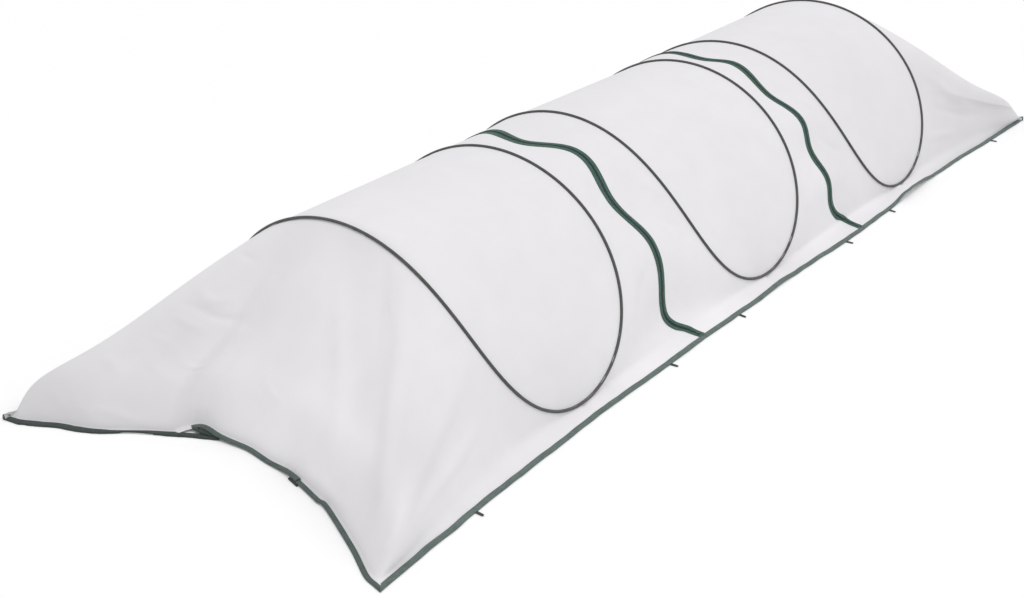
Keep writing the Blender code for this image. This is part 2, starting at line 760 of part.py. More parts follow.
def make_zip(name):
    """The two tapes, the two chains of teeth, the pin in its box and the top stops."""
    path = zip_path(name)
    total = path_lengths(path)[-1]
    straight_row = ROWS.index(("wall", ROW_ANGLES[-2])) - 1
    slider_at = path_lengths(path)[straight_row] - SLIDER_FROM_END
    chain_end = slider_at + SLIDER_LENGTH / 2 + STOP_LENGTH / 2
    tape = rectangle(TAPE_NEAR, TAPE_FAR, TAPE_LOW, TAPE_HIGH)
    chain = rectangle(CHAIN_NEAR, CHAIN_FAR, CHAIN_LOW, CHAIN_HIGH)
    after_pin = STOP_LENGTH + PIN_LENGTH + GAP
    after_box = STOP_LENGTH + BOX_LENGTH + GAP
    for label, direction, start in (("front", -1, after_pin), ("rear", 1, after_box)):
        side_tape = both_sides(tape, direction)
        side_chain = both_sides(chain, direction)
        strip(f"{name}_{label}_tape", path, 0, total, side_tape, "zip_tape")
        strip(f"{name}_{label}_teeth", path, start, chain_end, side_chain, "zip_teeth")
        stop_start = chain_end + GAP
        stop_name = f"{name}_{label}_top_stop"
        strip(stop_name, path, stop_start, stop_start + STOP_LENGTH, side_chain, "zip_metal")
    pin = both_sides(chain, -1)
    strip(f"{name}_insertion_pin", path, STOP_LENGTH, STOP_LENGTH + PIN_LENGTH, pin, "zip_metal")
    lip = SLIDER_PLATE
    low, high = CHAIN_LOW - GAP, CHAIN_HIGH + GAP
    box = [
        (-CHAIN_FAR, low - lip),
        (CHAIN_FAR, low - lip),
        (CHAIN_FAR, high + lip),
        (-CHAIN_FAR, high + lip),
        (-CHAIN_FAR, high),
        (GAP - CHAIN_NEAR, high),
        (GAP - CHAIN_NEAR, low),
        (-CHAIN_FAR, low),
    ]
    strip(f"{name}_retainer_box", path, STOP_LENGTH, STOP_LENGTH + BOX_LENGTH, box, "zip_metal")


def make_slider(name):
    """The slider's two plates on its web, with the bridge that holds the pull."""
    centre, across, up, along = slider_frame(name)
    wide, web = SLIDER_WIDTH / 2, SLIDER_WEB / 2
    low, high = CHAIN_LOW - GAP, CHAIN_HIGH + GAP
    bottom, top = low - SLIDER_PLATE, high + SLIDER_PLATE
    plates = [
        (-wide, bottom), (wide, bottom), (wide, low), (web, low), (web, high), (wide, high),
        (wide, top), (-wide, top), (-wide, high), (-web, high), (-web, low), (-wide, low),
    ]
    half = SLIDER_LENGTH / 2
    slider = block(f"{name}_slider", (centre, across, up, along), plates, -half, half, "zip_metal")
    move_origin(slider, centre)
    post = BRIDGE_LENGTH / 2
    opening = post - BRIDGE_POST
    under = top + BRIDGE_OPENING
    sunk = top - SLIDER_PLATE / 2
    arch = [
        (-post, sunk), (-opening, sunk), (-opening, under), (opening, under),
        (opening, sunk), (post, sunk), (post, under + BRIDGE_BAR), (-post, under + BRIDGE_BAR),
    ]
    half = BRIDGE_WIDTH / 2
    bridge = block(f"{name}_bridge_former", (centre, along, up, across), arch, -half, half, "zip_metal")
    bridge.hide_render = True
    bridge.display_type = "WIRE"
    join = slider.modifiers.new("bridge", "BOOLEAN")
    join.operation = "UNION"
    join.solver = "EXACT"
    join.object = bridge
    return slider


def pull_axis(name):
    """The middle of the pull's bar, which turns under the slider's bridge."""
    centre, across, up, along = slider_frame(name)
    height = CHAIN_HIGH + GAP + SLIDER_PLATE + GAP + PULL_BAR / 2
    return centre + up * height, across, up, along


def make_pull(name):
    """The pull: a bar under the bridge, an eye round it and a tab, hanging down the zip."""
    centre, across, up, along = pull_axis(name)
    half_bar = PULL_BAR / 2
    inner = BRIDGE_WIDTH / 2 + GAP + PULL_EYE_SLACK
    neck = inner + PULL_SIDE
    wide = PULL_TAB_WIDTH / 2
    eye_end = half_bar + PULL_EYE_LENGTH
    tab_end = eye_end + PULL_TAB_LENGTH
    outline = [(-neck, -half_bar), (neck, -half_bar), (wide, tab_end), (-wide, tab_end)]
    eye = [(-inner, half_bar), (inner, half_bar), (inner, eye_end), (-inner, eye_end)]
    rings = []
    for outer_corner, eye_corner in zip(outline, eye):
        corners = [(outer_corner, -half_bar), (eye_corner, -half_bar)]
        corners += [(corner, half_bar) for corner, _ in reversed(corners)]
        rings.append([centre + across * c[0] - along * c[1] + up * u for c, u in corners])
    pull = sweep(f"{name}_pull_tab", rings, "zip_metal", closed=True, smooth_deg=0)
    move_origin(pull, centre)
    return pull


def make_peg_loop(module, side, number):
    """A loop of cord that lies on the ground beyond the hem, for a ground peg."""
    x = LOOP_PLACE_SHARES[module][number] * HALF_LENGTH
    places = hem_places(module, side)
    after = next(place for place in places if place > x)
    before = max(place for place in places if place <= x)
    low, high = side_hem(before, side, 0), side_hem(after, side, 0)
    start = low + (high - low) * (x - before) / (after - before)
    out = -side * unit(np.cross(high - low, UP))
    sideways = np.cross(UP, out)
    bend = LOOP_INNER_WIDTH / 2 + LOOP_CORD_RADIUS
    flat = LOOP_CORD_RADIUS * math.cos(math.pi / LOOP_CORD_SIDES)
    route = [(GAP, -bend)]
    for i in range(LOOP_BEND_STEPS + 1):
        turn = math.pi * i / LOOP_BEND_STEPS
        route.append((LOOP_REACH - bend - LOOP_CORD_RADIUS + bend * math.sin(turn), -bend * math.cos(turn)))
    route.append((GAP, bend))
    points = [start + out * a + sideways * b + UP * flat for a, b in route]
    rings = []
    for i, point in enumerate(points):
        run = unit(points[min(i + 1, len(points) - 1)] - points[max(i - 1, 0)])
        rings.append(ring(point, np.cross(run, UP), UP, circle(LOOP_CORD_RADIUS, LOOP_CORD_SIDES)))
    label = "near" if side == NEAR else "far"
    return sweep(f"{module}_{label}_peg_loop_{number + 1}", rings, "cord", smooth_deg=70)


def make_tab():
    """A small blank tab of folded tape, sewn to the front hem."""
    before = max(f for f in ROW_PLACES if f <= TAB_PLACE_SHARE)
    after = min(f for f in ROW_PLACES if f > TAB_PLACE_SHARE)
    low, high = end_curve("front", before), end_curve("front", after)
    edge = low + (high - low) * (TAB_PLACE_SHARE - before) / (after - before)
    run = unit(high - low)
    inward = np.array([run[1], -run[0], 0])
    profile = rectangle(-TAB_REACH, -TAB_GAP, 0, TAB_THICKNESS)
    half = TAB_LENGTH / 2
    rings = [ring(edge + run * d, inward, UP, profile) for d in (-half, half)]
    return sweep("front_hem_tab", rings, "tab", smooth_deg=0)


def pieces_of(*starts):
    """The objects whose names start so."""
    return [placed for placed in bpy.data.objects if placed.name.startswith(starts)]


def main():
    for module in MODULE_CENTRES:
        make_cover(module)
        make_wire(module)
        make_ferrule(module)
        make_channel(module)
        for side in (NEAR, FAR):
            make_side_hem(module, side)
            for number in range(len(LOOP_PLACE_SHARES[module])):
                make_peg_loop(module, side, number)
    for end in END_MIDDLE_SHARES:
        make_end_hem(end)
    for name in ZIP_MIDDLES:
        make_zip(name)
        make_slider(name)
        make_pull(name)
    make_tab()
    for module, starts in MODULE_STARTS.items():
        carry(f"{module}_module", (MODULE_CENTRES[module], 0, 0), pieces_of(*starts))


main()
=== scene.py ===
"""A pop-up garden row cover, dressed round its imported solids.

X runs along the tunnel, -Y is the side that faces the camera, and the hems lie on Z = 0.
"""

import math

import bmesh
import bpy
import numpy as np
from mathutils import Matrix, Vector, noise


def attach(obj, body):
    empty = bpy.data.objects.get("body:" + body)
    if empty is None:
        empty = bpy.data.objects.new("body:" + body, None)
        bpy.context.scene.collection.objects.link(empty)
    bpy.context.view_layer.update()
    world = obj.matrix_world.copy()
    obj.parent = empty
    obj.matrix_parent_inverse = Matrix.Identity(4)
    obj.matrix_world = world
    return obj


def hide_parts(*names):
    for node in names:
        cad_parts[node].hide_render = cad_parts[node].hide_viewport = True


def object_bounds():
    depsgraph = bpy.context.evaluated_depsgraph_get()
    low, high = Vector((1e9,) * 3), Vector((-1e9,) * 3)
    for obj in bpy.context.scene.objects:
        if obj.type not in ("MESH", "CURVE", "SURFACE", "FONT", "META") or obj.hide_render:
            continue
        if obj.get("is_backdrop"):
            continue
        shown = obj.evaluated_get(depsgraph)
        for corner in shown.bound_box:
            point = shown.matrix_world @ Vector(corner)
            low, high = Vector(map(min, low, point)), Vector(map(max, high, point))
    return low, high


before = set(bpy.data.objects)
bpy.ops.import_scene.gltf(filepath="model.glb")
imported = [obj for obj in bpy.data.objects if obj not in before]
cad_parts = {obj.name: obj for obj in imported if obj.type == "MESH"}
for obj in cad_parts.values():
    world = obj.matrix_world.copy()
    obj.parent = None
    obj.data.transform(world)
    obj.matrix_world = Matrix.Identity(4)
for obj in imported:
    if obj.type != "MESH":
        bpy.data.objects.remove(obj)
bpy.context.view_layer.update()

# The camera stands to the front left of the tunnel and looks along its near side, from above.
# The object sits in the frame as it does in the photograph, with no shift and no depth of field.
CAMERA_PLACE = Vector((-3.0533, -1.9684, 1.5990))
YAW, PITCH, ROLL = 0.647805, 0.452961, -0.003123
FOCAL_PIXELS, PHOTO_PIXELS, SENSOR_WIDTH = 1554.616, 1024, 36


def shown(name, data):
    """A new object in the scene."""
    made = bpy.data.objects.new(name, data)
    bpy.context.scene.collection.objects.link(made)
    return made


forward = Vector((math.cos(PITCH) * math.cos(YAW), math.cos(PITCH) * math.sin(YAW), -math.sin(PITCH)))
level = forward.cross(Vector((0, 0, 1))).normalized()
upright = level.cross(forward)
sideways = level * math.cos(ROLL) + upright * math.sin(ROLL)
upright = upright * math.cos(ROLL) - level * math.sin(ROLL)
turned_to_view = Matrix((sideways, upright, -forward)).transposed().to_4x4()
camera = shown("camera", bpy.data.cameras.new("camera"))
camera.data.sensor_width = SENSOR_WIDTH
camera.data.lens = SENSOR_WIDTH * FOCAL_PIXELS / PHOTO_PIXELS
camera.data.clip_end = 100
camera.matrix_world = Matrix.Translation(CAMERA_PLACE) @ turned_to_view
bpy.context.scene.camera = camera
bpy.context.scene.view_settings.view_transform = "Standard"

# Twelve peg loops of thin twisted cord, sewn in pairs into the ground hems, take the ground pegs.
# Each lies flat on the floor, and both of its ends go into the folded hem.
NEAR, FAR = -1, 1
SIDES = {NEAR: "near", FAR: "far"}
UP = np.array([0, 0, 1.0])
HALF_LENGTH = 1.5
HEM_HALF_WIDTH = 0.4575
HEM_PLACE_SHARES = (
    -0.927, -0.867, -0.747, -0.607, -0.507, -0.247, 0.023, 0.103, 0.227, 0.293, 0.573, 0.727, 0.813, 0.900,
)
HEM_WIDTH_SHARES = (
    1.065, 1.051, 1.027, 1.010, 1.000, 1.000, 1.004, 1.012, 1.027, 1.029, 1.013, 1.028, 1.047, 1.060,
)
CORNER_SHARES = {
    ("front", NEAR): (-0.984, 1.078),
    ("front", FAR): (-1.000, 1.103),
    ("rear", NEAR): (1.000, 1.072),
    ("rear", FAR): (0.988, 1.080),
}
HEM_EASE, HEM_WAVER, HEM_WAVER_START = 0.03, 0.0022, 0.1
HEM_STEP = 0.012
HOOP_LIFT, LIFT_START, LIFT_START_EASE, LIFT_END, LIFT_END_EASE = 0.016, 0.665, 0.012, 0.845, 0.030
SMALL_LIFT, SMALL_LIFT_PLACE, SMALL_LIFT_REACH = 0.003, 0.02, 0.05
LOOP_PLACE_SHARES = {"front": (-0.792, -0.326), "middle": (-0.127, 0.223), "rear": (0.394, 0.844)}
LOOP_RADIUS, LOOP_BEND, LOOP_REACH, LOOP_TURNS = 0.0014, 0.0020, 0.018, 7.0
LOOP_LEAN, LOOP_ON_FLOOR = 0.0025, 0.012
LOOP_LEG = ((-0.003, -0.0026), (0.003, -0.0022), (0.008, -LOOP_BEND), (LOOP_ON_FLOOR, -LOOP_BEND))
CORD_STEPS, CORD_SIDES, STRANDS, STRAND_DEPTH = 90, 18, 3.0, 0.14


def unit(vector):
    """The same direction, one long."""
    return vector / np.linalg.norm(vector)


def past(x, place, ease):
    """A share that grows from 0 to 1 where x passes a place."""
    return 1 / (1 + np.exp((place - x) / ease))


def bell(distance, reach):
    """A share that is 1 at no distance and falls to a third at its reach."""
    return np.exp(-((distance / reach) ** 2))


def gentle(part):
    """A share that starts at 0 and ends at 1 with no slope."""
    part = np.clip(part, 0, 1)
    return part**2 * (3 - 2 * part)


def run_lengths(points):
    """How far along a line each of its points lies."""
    return np.concatenate([[0], np.cumsum(np.linalg.norm(np.diff(points, axis=0), axis=1))])


def hem_width(x, side):
    """Half the width of the tunnel over its ground hems, eased where it changes."""
    front, rear = CORNER_SHARES["front", side], CORNER_SHARES["rear", side]
    first, last = front[0] * HALF_LENGTH, rear[0] * HALF_LENGTH
    around = np.clip(x + np.linspace(-HEM_EASE, HEM_EASE, 9), first, last)
    places = (front[0], *HEM_PLACE_SHARES, rear[0])
    widths = (front[1], *HEM_WIDTH_SHARES, rear[1])
    even = HEM_HALF_WIDTH * float(np.interp(around / HALF_LENGTH, places, widths).mean())
    uneven = noise.noise(Vector((x * 9, side, 0.5))) + 0.6 * noise.noise(Vector((x * 25, side, 3.5)))
    return even + HEM_WAVER * uneven * min(max(min(x - first, last - x) / HEM_WAVER_START, 0), 1)


def hem_lift(x, side):
    """How far a ground hem stands off the floor: the near one does beside the rear hoop."""
    if side == FAR:
        return 0.0
    beside_hoop = past(x, LIFT_START, LIFT_START_EASE) * (1 - past(x, LIFT_END, LIFT_END_EASE))
    return HOOP_LIFT * beside_hoop + SMALL_LIFT * bell(x - SMALL_LIFT_PLACE, SMALL_LIFT_REACH)


def side_hem(x, side, inset):
    """A point at a distance inside a ground hem's outer edge."""
    wider = hem_width(x + HEM_STEP, side) - hem_width(x - HEM_STEP, side)
    run = unit(np.array([2 * HEM_STEP, side * wider, 0]))
    inward = np.array([side * run[1], -side * run[0], 0])
    return np.array([x, side * hem_width(x, side), hem_lift(x, side)]) + inward * inset


def node_maker(tree):
    """The maker of a tree's nodes: a kind, the values or links of its sockets, and its settings."""

    def add(kind, links=(), **settings):
        node = tree.nodes.new(kind)
        for key, value in settings.items():
            setattr(node, key, value)
        for socket, source in dict(links).items():
            if hasattr(source, "is_output"):
                tree.links.new(source, node.inputs[socket])
            else:
                node.inputs[socket].default_value = source
        return node

    return add


def sum_of(add, operation, *values):
    """The result of a Math node."""
    return add("ShaderNodeMath", dict(enumerate(values)), operation=operation).outputs[0]


def add_tree(name, sockets):
    """A tree of Geometry Nodes with its named inputs, its nodes' maker and the maker of its last ones."""
    tree = bpy.data.node_groups.new(name, "GeometryNodeTree")
    tree.interface.new_socket("Geometry", in_out="OUTPUT", socket_type="NodeSocketGeometry")
    for label, kind in sockets.items():
        tree.interface.new_socket(label, in_out="INPUT", socket_type="NodeSocket" + kind)
    add = node_maker(tree)
    given = add("NodeGroupInput").outputs

    def close(geometry):
        """Hands out plain meshes in the finish that is asked for."""
        plain = add("GeometryNodeRealizeInstances", {"Geometry": geometry}).outputs["Geometry"]
        plain = add("GeometryNodeSetMaterial", {"Geometry": plain, "Material": given["Finish"]})
        add("NodeGroupOutput", {"Geometry": plain.outputs["Geometry"]})

    return tree, given, add, close


def grown(name, points, outs, tree, values):
    """The plain mesh that a tree makes from a line, which also holds the way out of the cloth."""
    line = bpy.data.meshes.new(name)
    line.from_pydata([tuple(p) for p in points], [(i, i + 1) for i in range(len(points) - 1)], [])
    attribute = line.attributes.new("out", "FLOAT_VECTOR", "POINT")
    attribute.data.foreach_set("vector", np.array(outs, np.float32).ravel())
    source = shown(name, line)
    modifier = source.modifiers.new("grow", "NODES")
    modifier.node_group = tree
    for item in tree.interface.items_tree:
        if item.in_out == "INPUT" and item.name in values:
            modifier[item.identifier] = values[item.name]
    bpy.context.view_layer.update()
    graph = bpy.context.evaluated_depsgraph_get()
    mesh = bpy.data.meshes.new_from_object(source.evaluated_get(graph), depsgraph=graph)
    mesh.name = name
    bpy.data.objects.remove(source, do_unlink=True)
    return shown(name, mesh)


def new_material(name, roughness, **constants):
    """A material, the maker of its nodes, and the makers of its colour, relief and roughness."""
    made = bpy.data.materials.new(name)
    made.use_nodes = True
    tree = made.node_tree
    add = node_maker(tree)
    shader = tree.nodes["Principled BSDF"]
    shader.inputs["Roughness"].default_value = roughness
    for label, value in constants.items():
        shader.inputs[label.replace("_", " ").title()].default_value = value

    def between(factor, low, high):
        """A colour that goes from low to high with a factor."""
        ramp = add("ShaderNodeValToRGB", {"Fac": factor})
        ramp.color_ramp.elements[0].color = (*low, 1)
        ramp.color_ramp.elements[1].color = (*high, 1)
        tree.links.new(ramp.outputs["Color"], shader.inputs["Base Color"])
        return ramp

    def raised(height, distance, strength=1.0):
        bump = add("ShaderNodeBump", {"Height": height, "Distance": distance, "Strength": strength})
        tree.links.new(bump.outputs["Normal"], shader.inputs["Normal"])

    def rough(factor, low, high):
        spread = add("ShaderNodeMapRange", {"Value": factor, "To Min": low, "To Max": high})
        tree.links.new(spread.outputs["Result"], shader.inputs["Roughness"])

    return made, add, between, raised, rough


def noise_of(add, scale, detail, harshness=0.5, **more):
    """Noise that keeps its place on the object."""
    where = add("ShaderNodeTexCoord").outputs["Object"]
    values = {"Vector": where, "Scale": scale, "Detail": detail, "Roughness": harshness, **more}
    return add("ShaderNodeTexNoise", values).outputs["Fac"]


def grained(name, low, high, grain, height, roughness, base=0.7, **constants):
    """A material of one small grain, given as the noise's scale, detail and harshness."""
    made, add, between, raised, rough = new_material(name, base, **constants)
    fibres = noise_of(add, *grain)
    between(fibres, low, high)
    raised(fibres, height)
    rough(fibres, *roughness)
    return made


def dressed(piece, body, stands_for=None, finish=None):
    """Gives a piece its finish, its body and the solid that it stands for."""
    if finish:
        piece.data.materials.append(finish)
    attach(piece, body)
    if stands_for:
        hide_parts(stands_for)
    return piece


cord_finish = grained(
    "twisted_cord", (0.036, 0.050, 0.045), (0.105, 0.130, 0.118), (2400.0, 4.0, 0.6), 0.0002, (0.70, 0.95),
    base=0.8,
)
cord_tree, given, add, close = add_tree(
    "twisted_cord", {"Path": "Geometry", "Radius": "Float", "Turns": "Float", "Finish": "Material"}
)
path = add("GeometryNodeMeshToCurve", {"Mesh": given["Path"]}).outputs["Curve"]
path = add("GeometryNodeResampleCurve", {"Curve": path, "Count": CORD_STEPS}).outputs["Curve"]
along = add("GeometryNodeSplineParameter").outputs["Factor"]
twist = sum_of(add, "MULTIPLY", sum_of(add, "MULTIPLY", along, given["Turns"]), 2 * math.pi)
path = add("GeometryNodeSetCurveTilt", {"Curve": path, "Tilt": twist}).outputs["Curve"]
circle = add("GeometryNodeCurvePrimitiveCircle", {"Resolution": CORD_SIDES, "Radius": 1.0}, mode="RADIUS")
place = add("GeometryNodeInputPosition").outputs[0]
apart = add("ShaderNodeSeparateXYZ", {"Vector": place}).outputs
angle = sum_of(add, "ARCTAN2", apart["Y"], apart["X"])
lobes = sum_of(add, "COSINE", sum_of(add, "MULTIPLY", angle, STRANDS))
lobes = sum_of(add, "MULTIPLY_ADD", lobes, STRAND_DEPTH, 1 - STRAND_DEPTH)
lobes = sum_of(add, "MULTIPLY", lobes, given["Radius"])
lobed = add("ShaderNodeVectorMath", {0: place, "Scale": lobes}, operation="SCALE").outputs[0]
bar = add("GeometryNodeSetPosition", {"Geometry": circle.outputs["Curve"], "Position": lobed}).outputs["Geometry"]
cord = add("GeometryNodeCurveToMesh", {"Curve": path, "Profile Curve": bar, "Fill Caps": True})
close(cord.outputs["Mesh"])

for module, shares in LOOP_PLACE_SHARES.items():
    for side, label in SIDES.items():
        for number, share in enumerate(shares, 1):
            x = share * HALF_LENGTH
            root = side_hem(x, side, 0)
            out = unit(root - side_hem(x, side, 0.01))
            across = np.cross((0, 0, 1), out)
            lean = LOOP_LEAN * math.sin(7 * x)
            middle = LOOP_REACH - LOOP_BEND - LOOP_RADIUS
            route = list(LOOP_LEG)
            for i in range(1, 12):
                turn = math.pi * i / 12
                route.append((middle + LOOP_BEND * math.sin(turn), -LOOP_BEND * math.cos(turn)))
            route += [(a, -b) for a, b in reversed(LOOP_LEG)]
            points = []
            for a, b in route:
                point = root + out * a + across * (b + lean * a / LOOP_REACH)
                point[2] = LOOP_RADIUS + point[2] * max(0, 1 - a / LOOP_ON_FLOOR)
                points.append(point)
            values = {"Radius": LOOP_RADIUS, "Turns": LOOP_TURNS, "Finish": cord_finish}
            loop = grown(f"{module}_{label}_cord_loop_{number}", points, [UP] * len(points), cord_tree, values)
            loop.data.shade_smooth()
            dressed(loop, f"{module}_module", f"{module}_{label}_peg_loop_{number}")

# The hems are bound with one folded strip of dark grey-green woven tape, 13 mm wide and sewn once.
# The front end's strip starts and ends there: a wide end lies over a narrow one, and beyond it a
# pleat takes up the slack cloth. The tape runs in three lengths a side, one for each module.
BINDING_WIDTH, BINDING_HEIGHT, BINDING_WALL = 0.0135, 0.0028, 0.0008
CORNERS = {
    (end, side): np.array([HALF_LENGTH * along, HEM_HALF_WIDTH * across * side, 0])
    for (end, side), (along, across) in CORNER_SHARES.items()
}
REAR_HEM_MIDDLE = 1.278
REAR_HEM_POWERS = {NEAR: 1.6, FAR: 1.4}
FRONT_HEM_MIDDLES = (
    (-1.464, -0.474, 0), (-1.454, -0.4437, 0), (-1.4159, -0.383, 0), (-1.3838, -0.3256, 0.001),
    (-1.3552, -0.2729, 0.001), (-1.342, -0.2464, 0.002), (-1.336, -0.2305, 0.003), (-1.3348, -0.2175, 0.002),
    (-1.3264, -0.1929, 0.001), (-1.313, -0.1505, 0.002), (-1.2994, -0.0998, 0.003), (-1.2935, -0.0448, 0.001),
    (-1.2838, 0.018, 0.002), (-1.2866, 0.0694, 0.004), (-1.2886, 0.0998, 0.007), (-1.286, 0.14, 0.01),
    (-1.296, 0.164, 0.006), (-1.325, 0.18, 0.001), (-1.3384, 0.1911, 0), (-1.3779, 0.2572, 0),
    (-1.4211, 0.3199, 0), (-1.4487, 0.3937, 0), (-1.4809, 0.4558, 0), (-1.49, 0.478, 0),
)


def eased_route(route, steps=12):
    """A smooth curve through the points of a route."""
    points = np.array(route, float)
    padded = np.concatenate([[2 * points[0] - points[1]], points, [2 * points[-1] - points[-2]]])
    found = []
    for a, b, c, d in zip(padded, padded[1:], padded[2:], padded[3:]):
        bend, twist = 2 * a - 5 * b + 4 * c - d, 3 * b - a - 3 * c + d
        for i in range(steps):
            k = i / steps
            found.append(0.5 * (2 * b + (c - a) * k + bend * k**2 + twist * k**3))
    return np.array(found + [points[-1]])


def beside(line, distance):
    """A line moved sideways over the floor, away from the cloth."""
    runs = np.gradient(np.array(line), axis=0) * (1, 1, 0)
    runs /= np.linalg.norm(runs, axis=1)[:, None]
    return line + distance * np.stack([-runs[:, 1], runs[:, 0], 0 * runs[:, 0]], 1)


front_line = beside(eased_route(FRONT_HEM_MIDDLES), BINDING_WIDTH / 2)
front_line = np.concatenate([[CORNERS["front", NEAR]], front_line, [CORNERS["front", FAR]]])
rear_line = []
for f in np.linspace(-1, 1, 161):
    side = NEAR if f < 0 else FAR
    corner = CORNERS["rear", side]
    out = (corner[0] - REAR_HEM_MIDDLE) * abs(f) ** REAR_HEM_POWERS[side]
    rear_line.append((REAR_HEM_MIDDLE + out, corner[1] * abs(f), 0))
END_LINES = {"front": front_line, "rear": np.array(rear_line)}
END_STEP = 0.03


def end_curve(end, f):
    """The outer edge of an end hem, for f from -1 at its near corner to 1 at its far one."""
    line = END_LINES[end]
    y = abs(f) * CORNERS[end, NEAR if f < 0 else FAR][1]
    return np.array([np.interp(y, line[:, 1], line[:, 0]), y, np.interp(y, line[:, 1], line[:, 2])])


def end_inward(end, f):
    """The level direction into the cloth from an end hem."""
    run = end_curve(end, min(f + END_STEP, 1)) - end_curve(end, max(f - END_STEP, -1))
    run = unit(run * np.array([1, 1, 0]))
    return (1 if end == "front" else -1) * np.array([run[1], -run[0], 0])


def corner_point(end, side, side_inset, end_inset):
    """The point at two distances inside the two hems that meet in a corner."""
    x = CORNERS[end, side][0] + (BINDING_WIDTH if end == "front" else -BINDING_WIDTH)
    from_side = unit((side_hem(x, side, BINDING_WIDTH) - side_hem(x, side, 0)) * np.array([1, 1, 0]))
    lean = np.array([from_side[:2], end_inward(end, side)[:2]])
    return CORNERS[end, side] + np.array([*np.linalg.solve(lean, [side_inset, end_inset]), 0])


TURNED_UP_DEG, SIDE_TURN_REACH, END_TURN_REACH = 78, 0.11, 0.22


def turned_up(edge, inward, inset, level, angle):
    """A point of a hem that turns up round its outer edge, at an inset and a level of the flat hem."""
    out = inset * math.cos(angle) + (BINDING_HEIGHT - level) * math.sin(angle)
    return edge + inward * out + np.array([0, 0, inset * math.sin(angle) + level * math.cos(angle)])


def side_turn(x, side):
    """How far a ground hem is turned up: the far one stands on its edge at the front corner."""
    part = 1 - (x - CORNERS["front", FAR][0]) / SIDE_TURN_REACH
    return math.radians(TURNED_UP_DEG) * gentle(part) if side == FAR else 0


def end_turn(end, f):
    """How far an end hem is turned up: the rear one stands on its edge at the near corner."""
    return math.radians(TURNED_UP_DEG) * gentle(1 - (f + 1) / END_TURN_REACH) if end == "rear" else 0


def side_strip(x, side, inset, level):
    """A point of a ground hem's strip or of the cloth in it."""
    edge = side_hem(x, side, 0)
    return turned_up(edge, side_hem(x, side, 1) - edge, inset, level, side_turn(x, side))


def end_hem(end, f, inset, level):
    """A point of an end hem's strip or of the cloth in it."""
    return turned_up(end_curve(end, f), end_inward(end, f), inset, level, end_turn(end, f))


def corner_strip(end, side, side_inset, end_inset, level):
    """A point of the corner where two hems meet, one of which may be turned up there."""
    side_angle = side_turn(CORNERS[end, side][0], side) if end == "front" else 0
    end_angle = end_turn(end, side)
    height = BINDING_HEIGHT - level
    up = level
    if side_angle:
        up = side_inset * math.sin(side_angle) + level * math.cos(side_angle)
        side_inset = side_inset * math.cos(side_angle) + height * math.sin(side_angle)
    if end_angle:
        up = end_inset * math.sin(end_angle) + level * math.cos(end_angle)
        end_inset = end_inset * math.cos(end_angle) + height * math.sin(end_angle)
    return corner_point(end, side, side_inset, end_inset) + np.array([0, 0, up])


def folded_strip(width):
    """The section of a strip folded round an edge: (distance inside the outer edge, height)."""
    height, wall = BINDING_HEIGHT, BINDING_WALL
    turns = [math.pi * i / 8 for i in range(9)]
    nose = [(height / 2 * (1 - math.sin(turn)), height / 2 * (1 - math.cos(turn))) for turn in turns]
    lip, puff = wall / 4, wall * 0.9
    over = [(width * a, height + puff * math.sin(math.pi * a) ** 0.8) for a in (0.2, 0.35, 0.5, 0.65, 0.78)]
    over += [(width * 0.84, height - wall * 0.1), (width * 0.89, height + wall * 0.25)]
    over += [(width - lip, height), (width, height - lip)]
    inside = [(width, height - wall + lip), (width - lip, height - wall)]
    inside += [(wall * 2, height - wall), (wall, height / 2)]
    under = [(wall * 2, wall), (width - lip, wall), (width, wall - lip), (width, lip), (width - lip, 0)]
    return nose + over + inside + under


def ring(centre, across, up, section):
    """The points of a section, given as (across, up), at a place."""
    return [centre + across * a + up * u for a, u in section]


def swept(name, rings, closed=False, smooth_deg=50):
    """A tube through like rings of points, with a UV map in metres: along it, and round its section."""
    rings = np.array(rings, float)
    count, sides = rings.shape[:2]
    corners = np.arange(count * sides).reshape(count, sides)
    across = np.concatenate([corners, corners[:, :1]], axis=1)
    rows = np.concatenate([across, across[:1]]) if closed else across
    faces = np.stack([rows[:-1, :-1], rows[:-1, 1:], rows[1:, 1:], rows[1:, :-1]], -1).reshape(-1, 4)
    lengths = run_lengths(rings.mean(1))
    if closed:
        lengths = np.append(lengths, lengths[-1] + np.linalg.norm(rings[0].mean(0) - rings[-1].mean(0)))
    widths = run_lengths(np.concatenate([rings[0], rings[0][:1]]))
    u, v = np.meshgrid(lengths, widths, indexing="ij")
    uv = np.stack([u, v], -1)
    loops = np.stack([uv[:-1, :-1], uv[:-1, 1:], uv[1:, 1:], uv[1:, :-1]], 2).reshape(-1, 2)
    lists = faces.tolist()
    if not closed:
        lists += [corners[0, ::-1].tolist(), corners[-1].tolist()]
        loops = np.concatenate([loops, np.zeros((2 * sides, 2))])
    mesh = bpy.data.meshes.new(name)
    mesh.from_pydata(rings.reshape(-1, 3).tolist(), [], lists)
    mesh.uv_layers.new(name="cloth").data.foreach_set("uv", loops.astype(np.float32).ravel())
    mesh.calc_loop_triangles()
    points = rings.reshape(-1, 3)
    triangles = np.array([t.vertices for t in mesh.loop_triangles])
    a, b, c = (points[triangles[:, i]] for i in range(3))
    if (a * np.cross(b, c)).sum() < 0:
        mesh.flip_normals()
    mesh.shade_smooth()
    mesh.set_sharp_from_angle(angle=math.radians(smooth_deg))
    return shown(name, mesh)


def pattern(name, rings, smooth_deg):
    """A small item that rows are made of, kept out of the scene itself."""
    made = swept(name, rings, smooth_deg=smooth_deg)
    bpy.context.scene.collection.objects.unlink(made)
    return made


